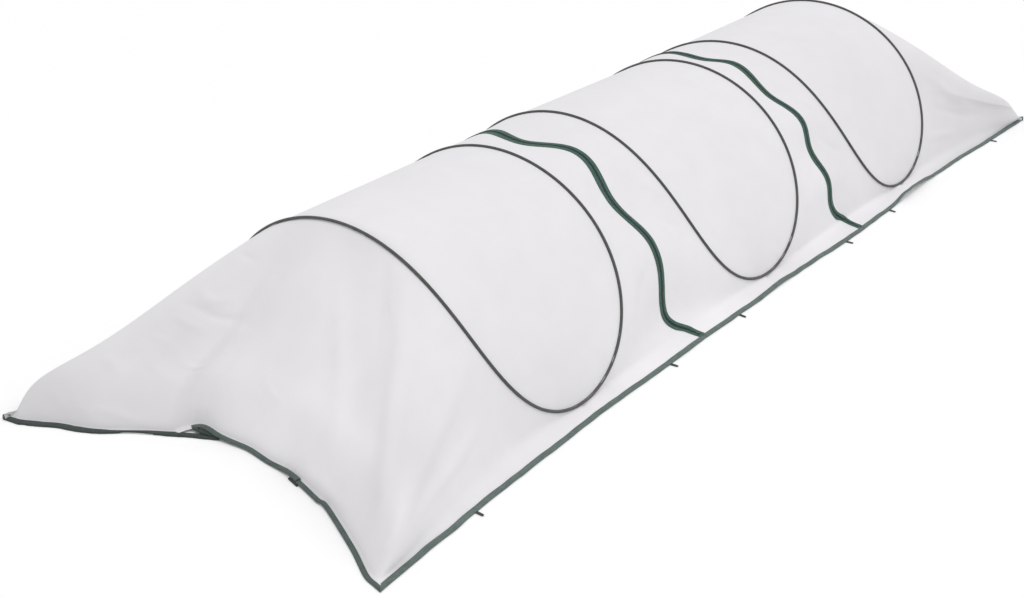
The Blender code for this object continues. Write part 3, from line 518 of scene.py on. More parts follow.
def woven_finish(name, low, high, ribs=1300.0):
    """Woven tape: ribs across it, threads along it, and a dusty mottle."""
    made, add, between, raised, rough = new_material(name, 0.85, sheen_weight=0.15, sheen_roughness=0.5)
    uv = add("ShaderNodeUVMap", uv_map="cloth").outputs["UV"]
    weave = []
    for way, share, uneven in (("X", 2, 0.6), ("Y", 3, 0.4)):
        values = {"Vector": uv, "Scale": ribs / (2 * math.pi) * share, "Distortion": uneven}
        weave.append(add("ShaderNodeTexWave", values, bands_direction=way).outputs["Fac"])
    weave = sum_of(add, "ADD", *weave)
    dust = noise_of(add, 60.0, 6.0, 0.65)
    ramp = between(sum_of(add, "MULTIPLY_ADD", weave, 0.25, dust), low, high)
    ramp.color_ramp.elements[0].position = 0.35
    raised(weave, 0.00012)
    rough(dust, 0.75, 0.95)
    return made


def thread_finish(name, low, high):
    """Spun thread with a soft twist."""
    return grained(name, low, high, (3000.0, 3.0), 0.00008, (0.6, 0.9), base=0.7)


def stitch(name, length, radius):
    """One stitch: a short bar of thread with rounded ends that dips at both of them."""
    rings = []
    for x, r in ((-0.5, 0.2), (-0.42, 0.8), (-0.2, 1.0), (0.2, 1.0), (0.42, 0.8), (0.5, 0.2)):
        turns = [math.pi * i / 3 for i in range(6)]
        dip = -radius * 1.6 * (2 * abs(x)) ** 3
        rings.append([(x * length, r * radius * math.cos(t), dip + r * radius * math.sin(t)) for t in turns])
    return pattern(name, rings, 80)


row_tree, given, add, close = add_tree("row_along_a_line", {
    "Line": "Geometry", "Item": "Object", "Pitch": "Float", "Wobble": "Float", "Seed": "Int", "Finish": "Material",
})
path = add("GeometryNodeMeshToCurve", {"Mesh": given["Line"]}).outputs["Curve"]
path = add("GeometryNodeResampleCurve", {"Curve": path, "Length": given["Pitch"]}, mode="LENGTH").outputs["Curve"]
tangent = add("GeometryNodeInputTangent").outputs["Tangent"]
way_out = add("GeometryNodeInputNamedAttribute", {"Name": "out"}, data_type="FLOAT_VECTOR").outputs["Attribute"]
facing = add(
    "FunctionNodeAxesToRotation", {"Primary Axis": tangent, "Secondary Axis": way_out},
    primary_axis="X", secondary_axis="Z",
)
item = add("GeometryNodeObjectInfo", {"Object": given["Item"]}).outputs["Geometry"]
placed = add("GeometryNodeInstanceOnPoints", {
    "Points": path, "Instance": item, "Rotation": facing.outputs["Rotation"],
})
# Inputs 2 and 3 of the random value are its lowest and highest number, and output 1 is the number.
lowest = sum_of(add, "MULTIPLY", given["Wobble"], -1.0)
limits = {2: lowest, 3: given["Wobble"], "Seed": given["Seed"]}
drawn = add("FunctionNodeRandomValue", limits, data_type="FLOAT").outputs[1]
spin = add("ShaderNodeCombineXYZ", {"Z": drawn}).outputs["Vector"]
placed = add("GeometryNodeRotateInstances", {"Instances": placed.outputs["Instances"], "Rotation": spin})
close(placed.outputs["Instances"])


def row_of(name, points, outs, item, pitch, finish, wobble=0.05, seed=1):
    """Copies of a small item in a row along a line, such as stitches or teeth."""
    values = {"Item": item, "Pitch": pitch, "Wobble": wobble, "Seed": seed, "Finish": finish}
    return grown(name, points, outs, row_tree, values)


binding_tape = woven_finish("hem_binding_tape", (0.055, 0.086, 0.075), (0.150, 0.205, 0.185))
# The front end's binding is a darker copy of the same tape: painted shade on the end that faces away from the
# lamps.
shaded_front_binding_tape = woven_finish("front_hem_binding_tape_painted_shade", (0.028, 0.048, 0.041), (0.100, 0.142, 0.127))
binding_thread = thread_finish("hem_binding_thread", (0.060, 0.090, 0.080), (0.15, 0.20, 0.18))
hem_stitch = stitch("hem_stitch_pattern", 0.0026, 0.0003)
STITCH_PITCH, STITCH_INSET, STITCH_LEVEL = 0.0032, 0.0022, 0.0002
MODULE_ENDS = {"front": ("front", "zip_1"), "middle": ("zip_1", "zip_2"), "rear": ("zip_2", "rear")}
ZIP_FEET = {("zip_1", NEAR): -0.3322, ("zip_1", FAR): -0.3611, ("zip_2", NEAR): 0.4396, ("zip_2", FAR): 0.4000}
BINDING_STEP, END_RINGS, END_STRIP_STOP = 0.005, 95, 0.962
CORNER_GAP, CORNER_LAP, ZIP_GAP = 0.004, 0.0003, 0.0003
SQUARE_ENDS = {("front", FAR): 0.0003, ("rear", NEAR): 0.0036}
# How much of the strip's width is rolled out of sight: (share, place along the tunnel, ease).
ROLL_FAR = (0.62, -1.445, 0.012)
ROLL_REAR, ROLL_BACK, ROLL_LIFTED = (0.36, 0.62, 0.05), (0.30, 0.92, 0.03), 0.20
cloth_trim = {"front": [], "middle": [], "rear": []}


def waver(place, size, seed):
    """A smooth uneven wave along a strip."""
    return size * noise.noise(Vector((place * 22, seed * 3.7, 0.5)))


def sewn(name, line, outs, module, thread, item, seed):
    """A row of stitches that rides with its cloth."""
    stitches = row_of(name, line, outs, item, STITCH_PITCH, thread, seed=seed)
    stitches.data.shade_smooth()
    cloth_trim[module].append(dressed(stitches, f"{module}_module"))


def bind(name, module, node, rings, sew_line, seed, tape=binding_tape):
    """One length of binding and its stitches."""
    strip = dressed(swept(name, rings), f"{module}_module", node, tape)
    cloth_trim[module].append(strip)
    outs = [UP] * len(sew_line)
    sewn(f"{name}_stitches", sew_line, outs, module, binding_thread, hem_stitch, seed)


def seen_width(x, side):
    """The strip rolls onto its edge towards the rear of the near side, most where it stands off the floor."""
    far, rolled, back = (share * past(x, place, ease) for share, place, ease in (ROLL_FAR, ROLL_REAR, ROLL_BACK))
    if side == FAR:
        return 1 - ROLL_FAR[0] + far
    return 1 - (rolled - back) - ROLL_LIFTED * hem_lift(x, side) / HOOP_LIFT


def strip_stop(end, side, way):
    """Where a length of ground binding stops, short of a corner or beside the foot of a zip."""
    foot = ZIP_FEET.get((end, side))
    if foot is None:
        return corner_point(end, side, BINDING_WIDTH, BINDING_WIDTH)[0] + way * CORNER_GAP
    return foot + way * ZIP_GAP


def corner_ring(end, side):
    """A ground strip's ring in a corner, mitred or cut square, and none where it meets a zip."""
    if (end, side) not in CORNERS:
        return []
    cut = SQUARE_ENDS.get((end, side))
    return [[corner_strip(end, side, a, a + CORNER_LAP if cut is None else cut, u) for a, u in profile]]


profile = folded_strip(BINDING_WIDTH)
for seed, (module, (before, after)) in enumerate(MODULE_ENDS.items(), 1):
    for side, label in SIDES.items():
        low, high = strip_stop(before, side, 1), strip_stop(after, side, -1)
        rings, sew_line = [], []
        for x in np.linspace(low, high, int((high - low) / BINDING_STEP)):
            wide = seen_width(x, side) * (1 + waver(x, 0.07, seed + side))
            thick = 1 + waver(x, 0.25, seed + 5)
            rings.append([side_strip(x, side, a * wide, u * thick) for a, u in profile])
            inset = BINDING_WIDTH * wide - STITCH_INSET
            sew_line.append(side_strip(x, side, inset, BINDING_HEIGHT + STITCH_LEVEL))
        rings = corner_ring(before, side) + rings + corner_ring(after, side)
        bind(f"{module}_{label}_binding", module, f"{module}_{label}_hem_binding", rings, sew_line, seed)


def end_strip(end, start, stop, width, low=0.0):
    """Rings and a stitch line along an end hem, from f = start to f = stop."""
    rings, sew_line = [], []
    shape = folded_strip(width)
    if start == -1:
        out = 0 if end == "rear" else 1
        rings.append([corner_strip(end, NEAR, a * out + CORNER_LAP, a, u) for a, u in shape])
        start = -END_STRIP_STOP
    finish_corner = stop == 1
    stop = END_STRIP_STOP if finish_corner else stop
    for f in np.linspace(start, stop, int((stop - start) * END_RINGS)):
        lift = UP * low * np.clip(1 - abs(f - start) / 0.12, 0, 1)
        rings.append([end_hem(end, f, a, u) + lift for a, u in shape])
        sew_line.append(end_hem(end, f, width - STITCH_INSET, BINDING_HEIGHT + STITCH_LEVEL) + lift)
    if finish_corner:
        rings.append([corner_point(end, FAR, a + CORNER_LAP, a) + UP * u for a, u in shape])
    return rings, sew_line


END_STRIPS = (
    ("rear_end_binding", "rear", "rear_end_hem_binding", (-1, 1, BINDING_WIDTH), 7, binding_tape),
    ("front_end_binding_near", "front", "front_end_hem_binding", (-1, -0.268, 0.0102), 8, shaded_front_binding_tape),
    ("front_end_binding_middle", "front", None, (-0.285, 0.318, 0.0118, 0.0030), 9, shaded_front_binding_tape),
)
for name, end, node, reach, seed, tape in END_STRIPS:
    bind(name, end, node, *end_strip(end, *reach), seed, tape)

# Beyond the pleat the binding lies flat on the floor as far as the corner. Its other end turns back
# at the pleat's tip and runs under the upper strip, where it shows as a thin dark line. Both are
# given a much darker copy of the tape, as painted shade.
FAR_STRETCH = (
    (-1.288, 0.096, 0.0005), (-1.296, 0.113, 0), (-1.317, 0.153, 0), (-1.3384, 0.1911, 0), (-1.356, 0.223, 0),
    (-1.3779, 0.2572, 0), (-1.403, 0.29, 0), (-1.4211, 0.3199, 0), (-1.437, 0.356, 0), (-1.4487, 0.3937, 0),
    (-1.466, 0.424, 0), (-1.4809, 0.4558, 0), (-1.487, 0.468, 0),
)
# A much darker copy of the binding tape: painted shade.
painted_shade_binding_tape = woven_finish("shaded_binding_tape", (0.008, 0.016, 0.013), (0.036, 0.056, 0.048))
TURNED_BACK = (
    (-1.2865, 0.0960, 0.0036), (-1.2930, 0.1180, 0.0040), (-1.2975, 0.1420, 0.0046), (-1.2960, 0.1610, 0.0060),
)
FAR_STRETCH_WIDTH, FAR_STRETCH_END, TURNED_BACK_WIDTH = 0.0175, 0.0036, 0.0110
# Where the strip lies on its edge: (share of the way, reach, depth).
FAR_STRETCH_THIN = ((0.42, 0.12, 0.52), (0.16, 0.05, 0.15))


def loose_strip(route, width, thin=()):
    """Rings and a stitch line along the middle of a route, narrower where it lies on its edge."""
    line = eased_route(route, 8)
    outer = beside(line, width / 2)
    inward = beside(line, -1) - line
    rings, sew_line = [], []
    for i, (edge, way) in enumerate(zip(outer, inward)):
        part = i / (len(line) - 1)
        here = width * (1 - sum(depth * bell(part - at, reach) for at, reach, depth in thin))
        here *= 1 + waver(part * 3, 0.12, 31)
        start = edge + way * (width - here) / 2
        rings.append(ring(start, way, UP, folded_strip(here)))
        sew_line.append(start + way * (here - STITCH_INSET) + UP * (BINDING_HEIGHT + STITCH_LEVEL))
    return rings, sew_line


rings, sew_line = loose_strip(FAR_STRETCH, FAR_STRETCH_WIDTH, FAR_STRETCH_THIN)
rings.append([corner_point("front", FAR, FAR_STRETCH_END, a) + UP * u for a, u in profile])
bind("front_end_binding_far", "front", None, rings, sew_line, 10, painted_shade_binding_tape)
rings, sew_line = loose_strip(TURNED_BACK, TURNED_BACK_WIDTH)
bind("front_end_binding_turned_back", "front", None, rings, sew_line, 11, painted_shade_binding_tape)

# Each module stands on one closed ring of sprung steel wire, bent into a saddle: two arches that
# share their two feet. A crimped tube joins the wire's ends at the far foot. Both are hidden in
# the tape channel, and show only where it is open.
HOOP_HALF_WIDTH, HOOP_REACH = 0.412, 0.2563
HOOP_FOOT_HEIGHT, HOOP_RISE = 0.0124, 0.3845
BOW_SHARE, CROWN_SHARE = -0.061, 0.0134
REACH_SHARES = {1: 1.0, 3: 0.1338, 5: 0.0053}
MODULE_CENTRES = {"front": -0.75705, "middle": 0.03495, "rear": 0.765}
HOOP_TURNS_DEG = {"front": 0, "middle": -1.76, "rear": 0.23}
HOOP_SHIFTS = {"front": 0, "middle": 0, "rear": -0.009}
WIRE_TO_CLOTH, SECTION_STEP_DEG, HOOP_STEP = 0.00285, 2, 0.03


def section(t):
    """The hoop seen from the end of the tunnel: (y, z) at an angle t."""
    y = -HOOP_HALF_WIDTH * (math.cos(t) + BOW_SHARE * math.cos(3 * t)) / (1 + BOW_SHARE)
    rise = (1 - math.cos(2 * t)) / 2 + CROWN_SHARE * (1 - math.cos(4 * t)) / 2
    return np.array([y, HOOP_FOOT_HEIGHT + HOOP_RISE * rise])


def slope(t):
    """The direction of the section at t, from the near foot towards the far one."""
    step = math.radians(SECTION_STEP_DEG)
    rise = section(min(t + step, math.pi)) - section(max(t - step, 0))
    return unit(np.array([0, *rise]))


def outward(t):
    """The direction that faces out of the tunnel at t."""
    along = slope(t)
    return np.array([0, -along[2], along[1]])


def hoop_point(module, t):
    """The middle of the wire at t, on the rear arch up to half a turn and on the front arch past it."""
    terms = sum(share * math.sin(n * t) for n, share in REACH_SHARES.items())
    x = HOOP_REACH * terms / sum(share * math.sin(n * math.pi / 2) for n, share in REACH_SHARES.items())
    y, z = section(t)
    turn = math.radians(HOOP_TURNS_DEG[module])
    return np.array([
        MODULE_CENTRES[module] + x * math.cos(turn) - y * math.sin(turn),
        HOOP_SHIFTS[module] + x * math.sin(turn) + y * math.cos(turn),
        z,
    ])


def hoop_frame(module, t):
    """A place on the hoop: the wire's middle, the direction across it in the cloth, and the way out."""
    along = unit(hoop_point(module, t + HOOP_STEP) - hoop_point(module, t - HOOP_STEP))
    past_near = t % (2 * math.pi)
    up = outward(min(past_near, 2 * math.pi - past_near))
    up = unit(up - along * (up @ along))
    return hoop_point(module, t), np.cross(up, along), up


HOOP_FINISHES = {
    "spring_wire": grained(
        "spring_steel", (0.26, 0.27, 0.28), (0.44, 0.45, 0.46), (900.0, 5.0), 0.00005, (0.25, 0.5),
        base=0.35, metallic=1.0,
    ),
    "wire_ferrule": grained(
        "crimped_ferrule", (0.42, 0.42, 0.41), (0.66, 0.66, 0.64), (400.0, 6.0), 0.0001, (0.3, 0.55),
        base=0.4, metallic=1.0,
    ),
}
for module in MODULE_CENTRES:
    for part, finish in HOOP_FINISHES.items():
        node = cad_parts[f"{module}_{part}"]
        node.data.materials.clear()
        node.data.materials.append(finish)

# A channel of dark grey tape is sewn to the fleece over each ring: a round ridge where the wire
# runs, with a narrow flange and a row of stitches on either side of it.
channel_tape = woven_finish("wire_channel_tape", (0.045, 0.052, 0.050), (0.115, 0.124, 0.121))
channel_thread = thread_finish("wire_channel_thread", (0.040, 0.050, 0.047), (0.10, 0.12, 0.11))
channel_stitch = stitch("channel_stitch_pattern", 0.0022, 0.00016)
RIDGE, FLANGE, TAPE = 0.0022, 0.0008, 0.0004
TAPE_FLOOR, RIDGE_LEVEL, RIDGE_FLATNESS, HOOP_RINGS = -0.0022, 0.0002, 0.92, 300
turns = [math.pi * i / 8 for i in range(9)]
ridge_outer, ridge_inner = (
    [(-r * math.cos(turn), RIDGE_LEVEL + r * math.sin(turn) * RIDGE_FLATNESS) for turn in turns]
    for r in (RIDGE + TAPE, RIDGE)
)
reach = RIDGE + TAPE + FLANGE
left = [(-reach, TAPE_FLOOR + TAPE * 0.2), (-reach, TAPE_FLOOR + TAPE)]
left += [(-RIDGE - TAPE * 1.6, TAPE_FLOOR + TAPE * 1.3)]
right = [(-a, u) for a, u in reversed(left)]
under_right = [(reach - TAPE * 0.4, TAPE_FLOOR), (RIDGE, TAPE_FLOOR)]
under_left = [(-a, u) for a, u in reversed(under_right)]
channel_profile = left + ridge_outer + right + under_right + ridge_inner[::-1] + under_left
sew_reach, sew_level = RIDGE + TAPE + FLANGE * 0.5, TAPE_FLOOR + TAPE + 0.0003
for number, module in enumerate(MODULE_CENTRES, 1):
    rings, outs, sews = [], [], {-1: [], 1: []}
    for i in range(HOOP_RINGS):
        centre, across, up = hoop_frame(module, 2 * math.pi * i / HOOP_RINGS)
        rings.append(ring(centre, across * (1 + waver(i / 60, 0.05, number)), up, channel_profile))
        outs.append(up)
        for way in sews:
            sews[way].append(centre + across * way * sew_reach + up * sew_level)
    channel = swept(f"{module}_tape_channel", rings, closed=True, smooth_deg=60)
    dressed(channel, f"{module}_module", f"{module}_wire_channel", channel_tape)
    cloth_trim[module].append(channel)
    for way, label in ((-1, "inner"), (1, "outer")):
        name = f"{module}_channel_stitches_{label}"
        sewn(name, sews[way], outs, module, channel_thread, channel_stitch, number)

# Two open-ended zips join the modules. Each is two woven tapes with a row of moulded teeth, a pin
# and a box at the near hem, a stop at the top of each row, and a slider with a hanging pull.
ZIP_WANDER, ZIP_SAG = 0.037, 0.021
ZIP_ANGLES_DEG = {
    "zip_1": (0, 22, 44, 60, 76, 91, 108, 125, 142.5, 180),
    "zip_2": (0, 22, 32, 44, 54, 67, 80, 90, 106, 125, 142.5, 180),
}
ZIP_WANDER_SHARES = {
    "zip_1": (0.5, -0.75, -0.16, -0.70, -0.07, -1.0, 0, -0.5, 0, 0),
    "zip_2": (1.1, -0.22, 0, -0.39, 0.07, -0.56, -0.16, -0.73, -0.1, -0.4, 0, 0),
}
ZIP_SAG_SHARES = {
    "zip_1": (0, 1.0, 0.21, 1.0, 0.07, 0.70, 0, 0.4, 0, 0),
    "zip_2": (0, 0.21, 0, 0.43, -0.05, 0.6, 0.16, 0.48, 0, 0.3, 0, 0),
}
ZIP_FOOT_SHARES = {"zip_1": 0.78, "zip_2": 1.07}
ZIP_STRAIGHT_DEG = (142.5, 172.5)
ZIP_MIDDLES = {
    "zip_1": (MODULE_CENTRES["front"] + MODULE_CENTRES["middle"]) / 2,
    "zip_2": (MODULE_CENTRES["middle"] + MODULE_CENTRES["rear"]) / 2,
}
ZIP_SIDES = {"zip_1": ("front", "middle"), "zip_2": ("middle", "rear")}
KICK_DROP = 0.006
ZIP_SLANT_REACH = 0.020
FIRST_SMOOTHED, LAST_SMOOTHED, SMOOTHED_ROUNDS = 2, 15, 16
WALL_ROWS = 220
GROUND_SHARES = (0.2, 0.4, 0.6, 0.8)
FIRST_WALL_ROW = 3 + len(GROUND_SHARES)
ROWS = (
    [("edge", NEAR), ("inner", NEAR)] + [("strip", NEAR, g) for g in GROUND_SHARES] + [("kick", NEAR)]
    + [("wall", math.pi * i / WALL_ROWS) for i in range(WALL_ROWS + 1)]
    + [("kick", FAR)] + [("strip", FAR, g) for g in reversed(GROUND_SHARES)] + [("inner", FAR), ("edge", FAR)]
)
HEM_INSET = 0.0014
LEVEL = np.array([0, 0, BINDING_HEIGHT / 2])


def skin(t):
    """The middle of the fleece at t, seen from the end of the tunnel."""
    return np.array([0, *section(t)]) - outward(t) * WIRE_TO_CLOTH


def kick_from(foot, side):
    """The point just below a hoop's foot, where the fleece turns outwards to its hem."""
    return foot + side * slope(0 if side == NEAR else math.pi) * KICK_DROP


def off_ground(inner, kick, share):
    """The cloth leaves the ground hem level and turns up into the wall."""
    return inner + (kick - inner) * np.array([share, share, share**2])


def eased(angles, shares, t):
    """A wave that eases from each share to the next one."""
    t = min(max(math.degrees(t), angles[0]), angles[-1])
    after = next(i for i, angle in enumerate(angles) if angle >= t)
    if after == 0:
        return shares[0]
    part = (t - angles[after - 1]) / (angles[after] - angles[after - 1])
    return shares[after - 1] + (shares[after] - shares[after - 1]) * (1 - math.cos(math.pi * part)) / 2


def zip_wall_point(name, t):
    """The zip's line on the walls and the ridge, where the loose fleece lets it wander and sag."""
    low, high = (math.radians(angle) for angle in ZIP_STRAIGHT_DEG)
    if low < t < high:
        part = (t - low) / (high - low)
        return zip_wall_point(name, low) * (1 - part) + zip_wall_point(name, high) * part
    wander = ZIP_WANDER * eased(ZIP_ANGLES_DEG[name], ZIP_WANDER_SHARES[name], t)
    sag = ZIP_SAG * eased(ZIP_ANGLES_DEG[name], ZIP_SAG_SHARES[name], t)
    return skin(t) - outward(t) * sag + np.array([ZIP_MIDDLES[name] + wander, 0, 0])


def zip_row_point(name, row):
    """The zip's line at a row of the cloth."""
    kind, value = row[:2]
    if kind == "wall":
        return zip_wall_point(name, value)
    foot = zip_wall_point(name, 0 if value == NEAR else math.pi)
    x = ZIP_MIDDLES[name] + (ZIP_WANDER * ZIP_FOOT_SHARES[name] if value == NEAR else 0)
    kick = kick_from(foot, value) + np.array([(x - foot[0]) / 2, 0, 0])
    inner = side_hem(x, value, BINDING_WIDTH) + LEVEL
    if kind == "kick":
        return kick
    if kind == "strip":
        return off_ground(inner, kick, row[2])
    return side_hem(x, value, HEM_INSET) + LEVEL if kind == "edge" else inner


def zip_frames(points):
    """For each point of a zip's line, the X direction widened for the line's slant, and the way out."""
    lengths = run_lengths(points)
    frames = []
    for point, length in zip(points, lengths):
        ahead, behind = (
            np.array([np.interp(length + reach, lengths, points[:, axis]) for axis in range(3)])
            for reach in (ZIP_SLANT_REACH, -ZIP_SLANT_REACH)
        )
        along = unit(ahead - behind)
        across = np.array([1, 0, 0]) / math.sqrt(1 - along[0] ** 2)
        frames.append((point, across, unit(np.cross([1, 0, 0], along))))
    return frames


ZIP_LINES = {}
for name in ZIP_MIDDLES:
    points = np.array([zip_row_point(name, row) for row in ROWS])
    foot = points[FIRST_SMOOTHED - 1:LAST_SMOOTHED + 1]
    for _ in range(SMOOTHED_ROUNDS):
        foot[1:-1] += ((foot[:-2] + foot[2:]) / 2 - foot[1:-1]) / 2
    ZIP_LINES[name] = zip_frames(points)
zip_tape_finish = woven_finish("zip_tape", (0.016, 0.062, 0.045), (0.055, 0.150, 0.112), ribs=1600.0)
zip_thread = thread_finish("zip_thread", (0.012, 0.045, 0.032), (0.04, 0.11, 0.08))
zip_stitch = stitch("zip_stitch_pattern", 0.0026, 0.00028)
tooth_plastic = grained(
    "moulded_teeth", (0.006, 0.020, 0.015), (0.016, 0.044, 0.033), (700.0, 4.0), 0.00004, (0.35, 0.6),
    base=0.4,
)
cast_metal = grained(
    "painted_zinc", (0.045, 0.070, 0.060), (0.13, 0.16, 0.15), (300.0, 6.0, 0.7), 0.00008, (0.3, 0.6),
    base=0.4, metallic=0.6,
)
TOOTH_PITCH, TOOTH_LEVEL, FIRST_TOOTH, LAST_TOOTH_GAP = 0.0028, 0.0012, 0.016, 0.018
TAPE_NEAR, TAPE_FAR, TAPE_LOW, TAPE_HIGH = 0.0022, 0.0114, 0.0008, 0.0015

# Where a tape lies flatter to the front it looks wider: (angle round the tunnel, reach, share).
ZIP_WIDE = {"zip_1": ((68, 6, 0.22), (86, 7, 0.35), (102, 8, 0.45)), "zip_2": ((77, 5, 0.18), (92, 6, 0.12))}


def tooth(name, way):
    """One moulded tooth: a block round the tape's edge with a waisted neck and a round head."""
    outline = [(0.0036, 0.00062), (0.0022, 0.00066), (0.0010, 0.00042), (0.0000, 0.00066), (-0.0007, 0.00050)]
    rings = []
    for y, half in outline:
        top = 0.00095 if y > 0.0005 else 0.00075
        rings.append([(-half, way * y, -top), (half, way * y, -top), (half, way * y, top), (-half, way * y, top)])
    return pattern(name, rings, 25)


def eased_copy(name, node, bevel, body):
    """A metal piece of the zip, with the edges of its solid rounded over."""
    work = bmesh.new()
    work.from_mesh(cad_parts[node].data)
    bmesh.ops.remove_doubles(work, verts=work.verts, dist=1e-6)
    bmesh.ops.dissolve_limit(work, angle_limit=math.radians(1), verts=work.verts, edges=work.edges)
    mesh = bpy.data.meshes.new(name)
    work.to_mesh(mesh)
    work.free()
    made = shown(name, mesh)
    rounded = made.modifiers.new("rounded", "BEVEL")
    rounded.width = bevel
    rounded.segments = 2
    rounded.limit_method = "ANGLE"
    rounded.angle_limit = math.radians(35)
    mesh.materials.append(cast_metal)
    mesh.shade_smooth()
    mesh.set_sharp_from_angle(angle=math.radians(35))
    dressed(made, body, node)


for zip_number, (name, order) in enumerate(zip(ZIP_MIDDLES, ("first", "second")), 1):
    path = ZIP_LINES[name][1:-1]
    lengths = run_lengths([place for place, _, _ in path])
    straight = zip_wall_point(name, math.radians(ZIP_STRAIGHT_DEG[1]))
    top = min(range(len(path)), key=lambda i: np.linalg.norm(path[i][0] - straight))
    last_tooth = lengths[top] - LAST_TOOTH_GAP
    for way, label, module in ((-1, "front", ZIP_SIDES[name][0]), (1, "rear", ZIP_SIDES[name][1])):
        rings, sew_line, outs = [], [], []
        for row, ((centre, across, up), length) in enumerate(zip(path, lengths), 1):
            degrees = (row - FIRST_WALL_ROW) * 180 / WALL_ROWS
            spread = 1 + waver(length, 0.06, zip_number + way)
            spread += sum(share * bell(degrees - at, reach) for at, reach, share in ZIP_WIDE[name])
            rise = waver(length, 0.0006, zip_number * 3 + way)
            flat = [
                (TAPE_NEAR, TAPE_LOW), (TAPE_FAR * 0.6, TAPE_LOW), (TAPE_FAR * spread, TAPE_LOW + rise),
                (TAPE_FAR * spread, TAPE_HIGH + rise), (TAPE_FAR * 0.6, TAPE_HIGH), (TAPE_NEAR, TAPE_HIGH),
            ]
            rings.append(ring(centre, across * way, up, flat))
            sew_line.append(centre + across * way * TAPE_FAR * 0.82 + up * (TAPE_HIGH + rise * 0.6 + STITCH_LEVEL))
            outs.append(up)
        part = f"{name}_{label}"
        tape = swept(f"{part}_woven_tape", rings, smooth_deg=40)
        dressed(tape, f"{module}_module", f"{part}_tape", zip_tape_finish)
        cloth_trim[module].append(tape)
        sewn(f"{part}_tape_stitches", sew_line, outs, module, zip_thread, zip_stitch, zip_number)
        begin = FIRST_TOOTH + (TOOTH_PITCH / 2 if way > 0 else 0)
        inside = [i for i, length in enumerate(lengths) if begin < length < last_tooth]
        share = np.interp(begin, lengths, range(len(lengths)))
        a, b = path[int(share)], path[int(share) + 1]
        points = [a[0] + (b[0] - a[0]) * (share % 1) + a[2] * TOOTH_LEVEL]
        points += [path[i][0] + path[i][2] * TOOTH_LEVEL for i in inside]
        teeth = row_of(
            f"{part}_moulded_teeth", points, [a[2]] + [path[i][2] for i in inside],
            tooth(f"{part}_tooth", -way), TOOTH_PITCH, tooth_plastic, wobble=0.0,
        )
        dressed(teeth, f"{module}_module", f"{part}_teeth")
        eased_copy(f"{part}_stop", f"{part}_top_stop", 0.0003, f"{module}_module")
    for label, node, bevel, body in (
        ("pin", "insertion_pin", 0.0003, f"{ZIP_SIDES[name][0]}_module"),
        ("box", "retainer_box", 0.00015, f"{ZIP_SIDES[name][1]}_module"),
        ("slider_body", "slider", 0.0002, f"{order}_zip_slider"),
        ("pull", "pull_tab", 0.0002, f"{order}_zip_pull"),
    ):
        eased_copy(f"{name}_{label}", f"{name}_{node}", bevel, body)

# Each cover is one thin, soft, bonded fleece, cut to shape and sewn to its ring, hems and zips. It
# is drawn straight between the arches, droops towards the zips, and falls from the end arches in
# long ruled skirts that fan out from the corners.
FAN_DEGS = (0, 20, 30, 60, 90)
FAN_SHARES = {
    ("front", NEAR): (0, 0.690, 0.870, 0.945, 0.957),
    ("front", FAR): (0, 0.618, 0.943, 0.982, 0.985),
    ("rear", NEAR): (0, 0.710, 0.903, 0.973, 0.989),
    ("rear", FAR): (0, 0.690, 0.880, 0.945, 0.957),
}
FAN_EASE_DEG = 6
KICK_GAP_SHARE, LOW_ROW_POWER = 0.001, 1.5
SKIRT_BULGES = {("front", NEAR): 0.055, ("front", FAR): 0.042, ("rear", NEAR): 0.054, ("rear", FAR): 0.055}
BULGE_POWERS = {("front", NEAR): 4.2, ("front", FAR): 4.7, ("rear", NEAR): 4.2, ("rear", FAR): 4.2}
SKIRT_LIFTS = {("front", NEAR): 0, ("front", FAR): 0.016, ("rear", NEAR): 0.053, ("rear", FAR): 0.045}
SIDE_EASE_DEG = 12


def by_side(table, end, t):
    """A value that goes over from the near side's to the far side's across the top."""
    part = gentle((math.degrees(t) - 90) / (2 * SIDE_EASE_DEG) + 0.5)
    return table[end, NEAR] * (1 - part) + table[end, FAR] * part


FOLD_DEPTH, FOLD_COUNT = 0.006, 4
FLEECE_THICKNESS = 0.0006
FLEECE_TO_ZIP, FLAT_BESIDE_ZIP = 0.0055, 0.013
SKIRT_STEPS = np.linspace(0, 1, 92)[1:-1] ** 1.15
SADDLE_STEPS = np.linspace(0, 1, 14)[1:-1]
ZIP_SIDE_STEPS = np.linspace(0, 1, 16)[1:-1]


def on_hoop(module, t, front):
    """The middle of the fleece under the wire, on the front or the rear arch."""
    return hoop_point(module, 2 * math.pi - t if front else t) - outward(t) * WIRE_TO_CLOTH


def end_place(end, t):
    """Where an end skirt's line from an angle t meets its hem."""
    degrees = math.degrees(t) - 90 + np.linspace(-FAN_EASE_DEG, FAN_EASE_DEG, 9)
    near, far = (np.interp(side * degrees, FAN_DEGS, FAN_SHARES[end, side]) for side in (NEAR, FAR))
    return float((far - near).mean())


def hem_inside(end, f, inset):
    """A point of the cloth at a distance inside an end hem's outer edge."""
    return end_hem(end, f, inset, BINDING_HEIGHT / 2)


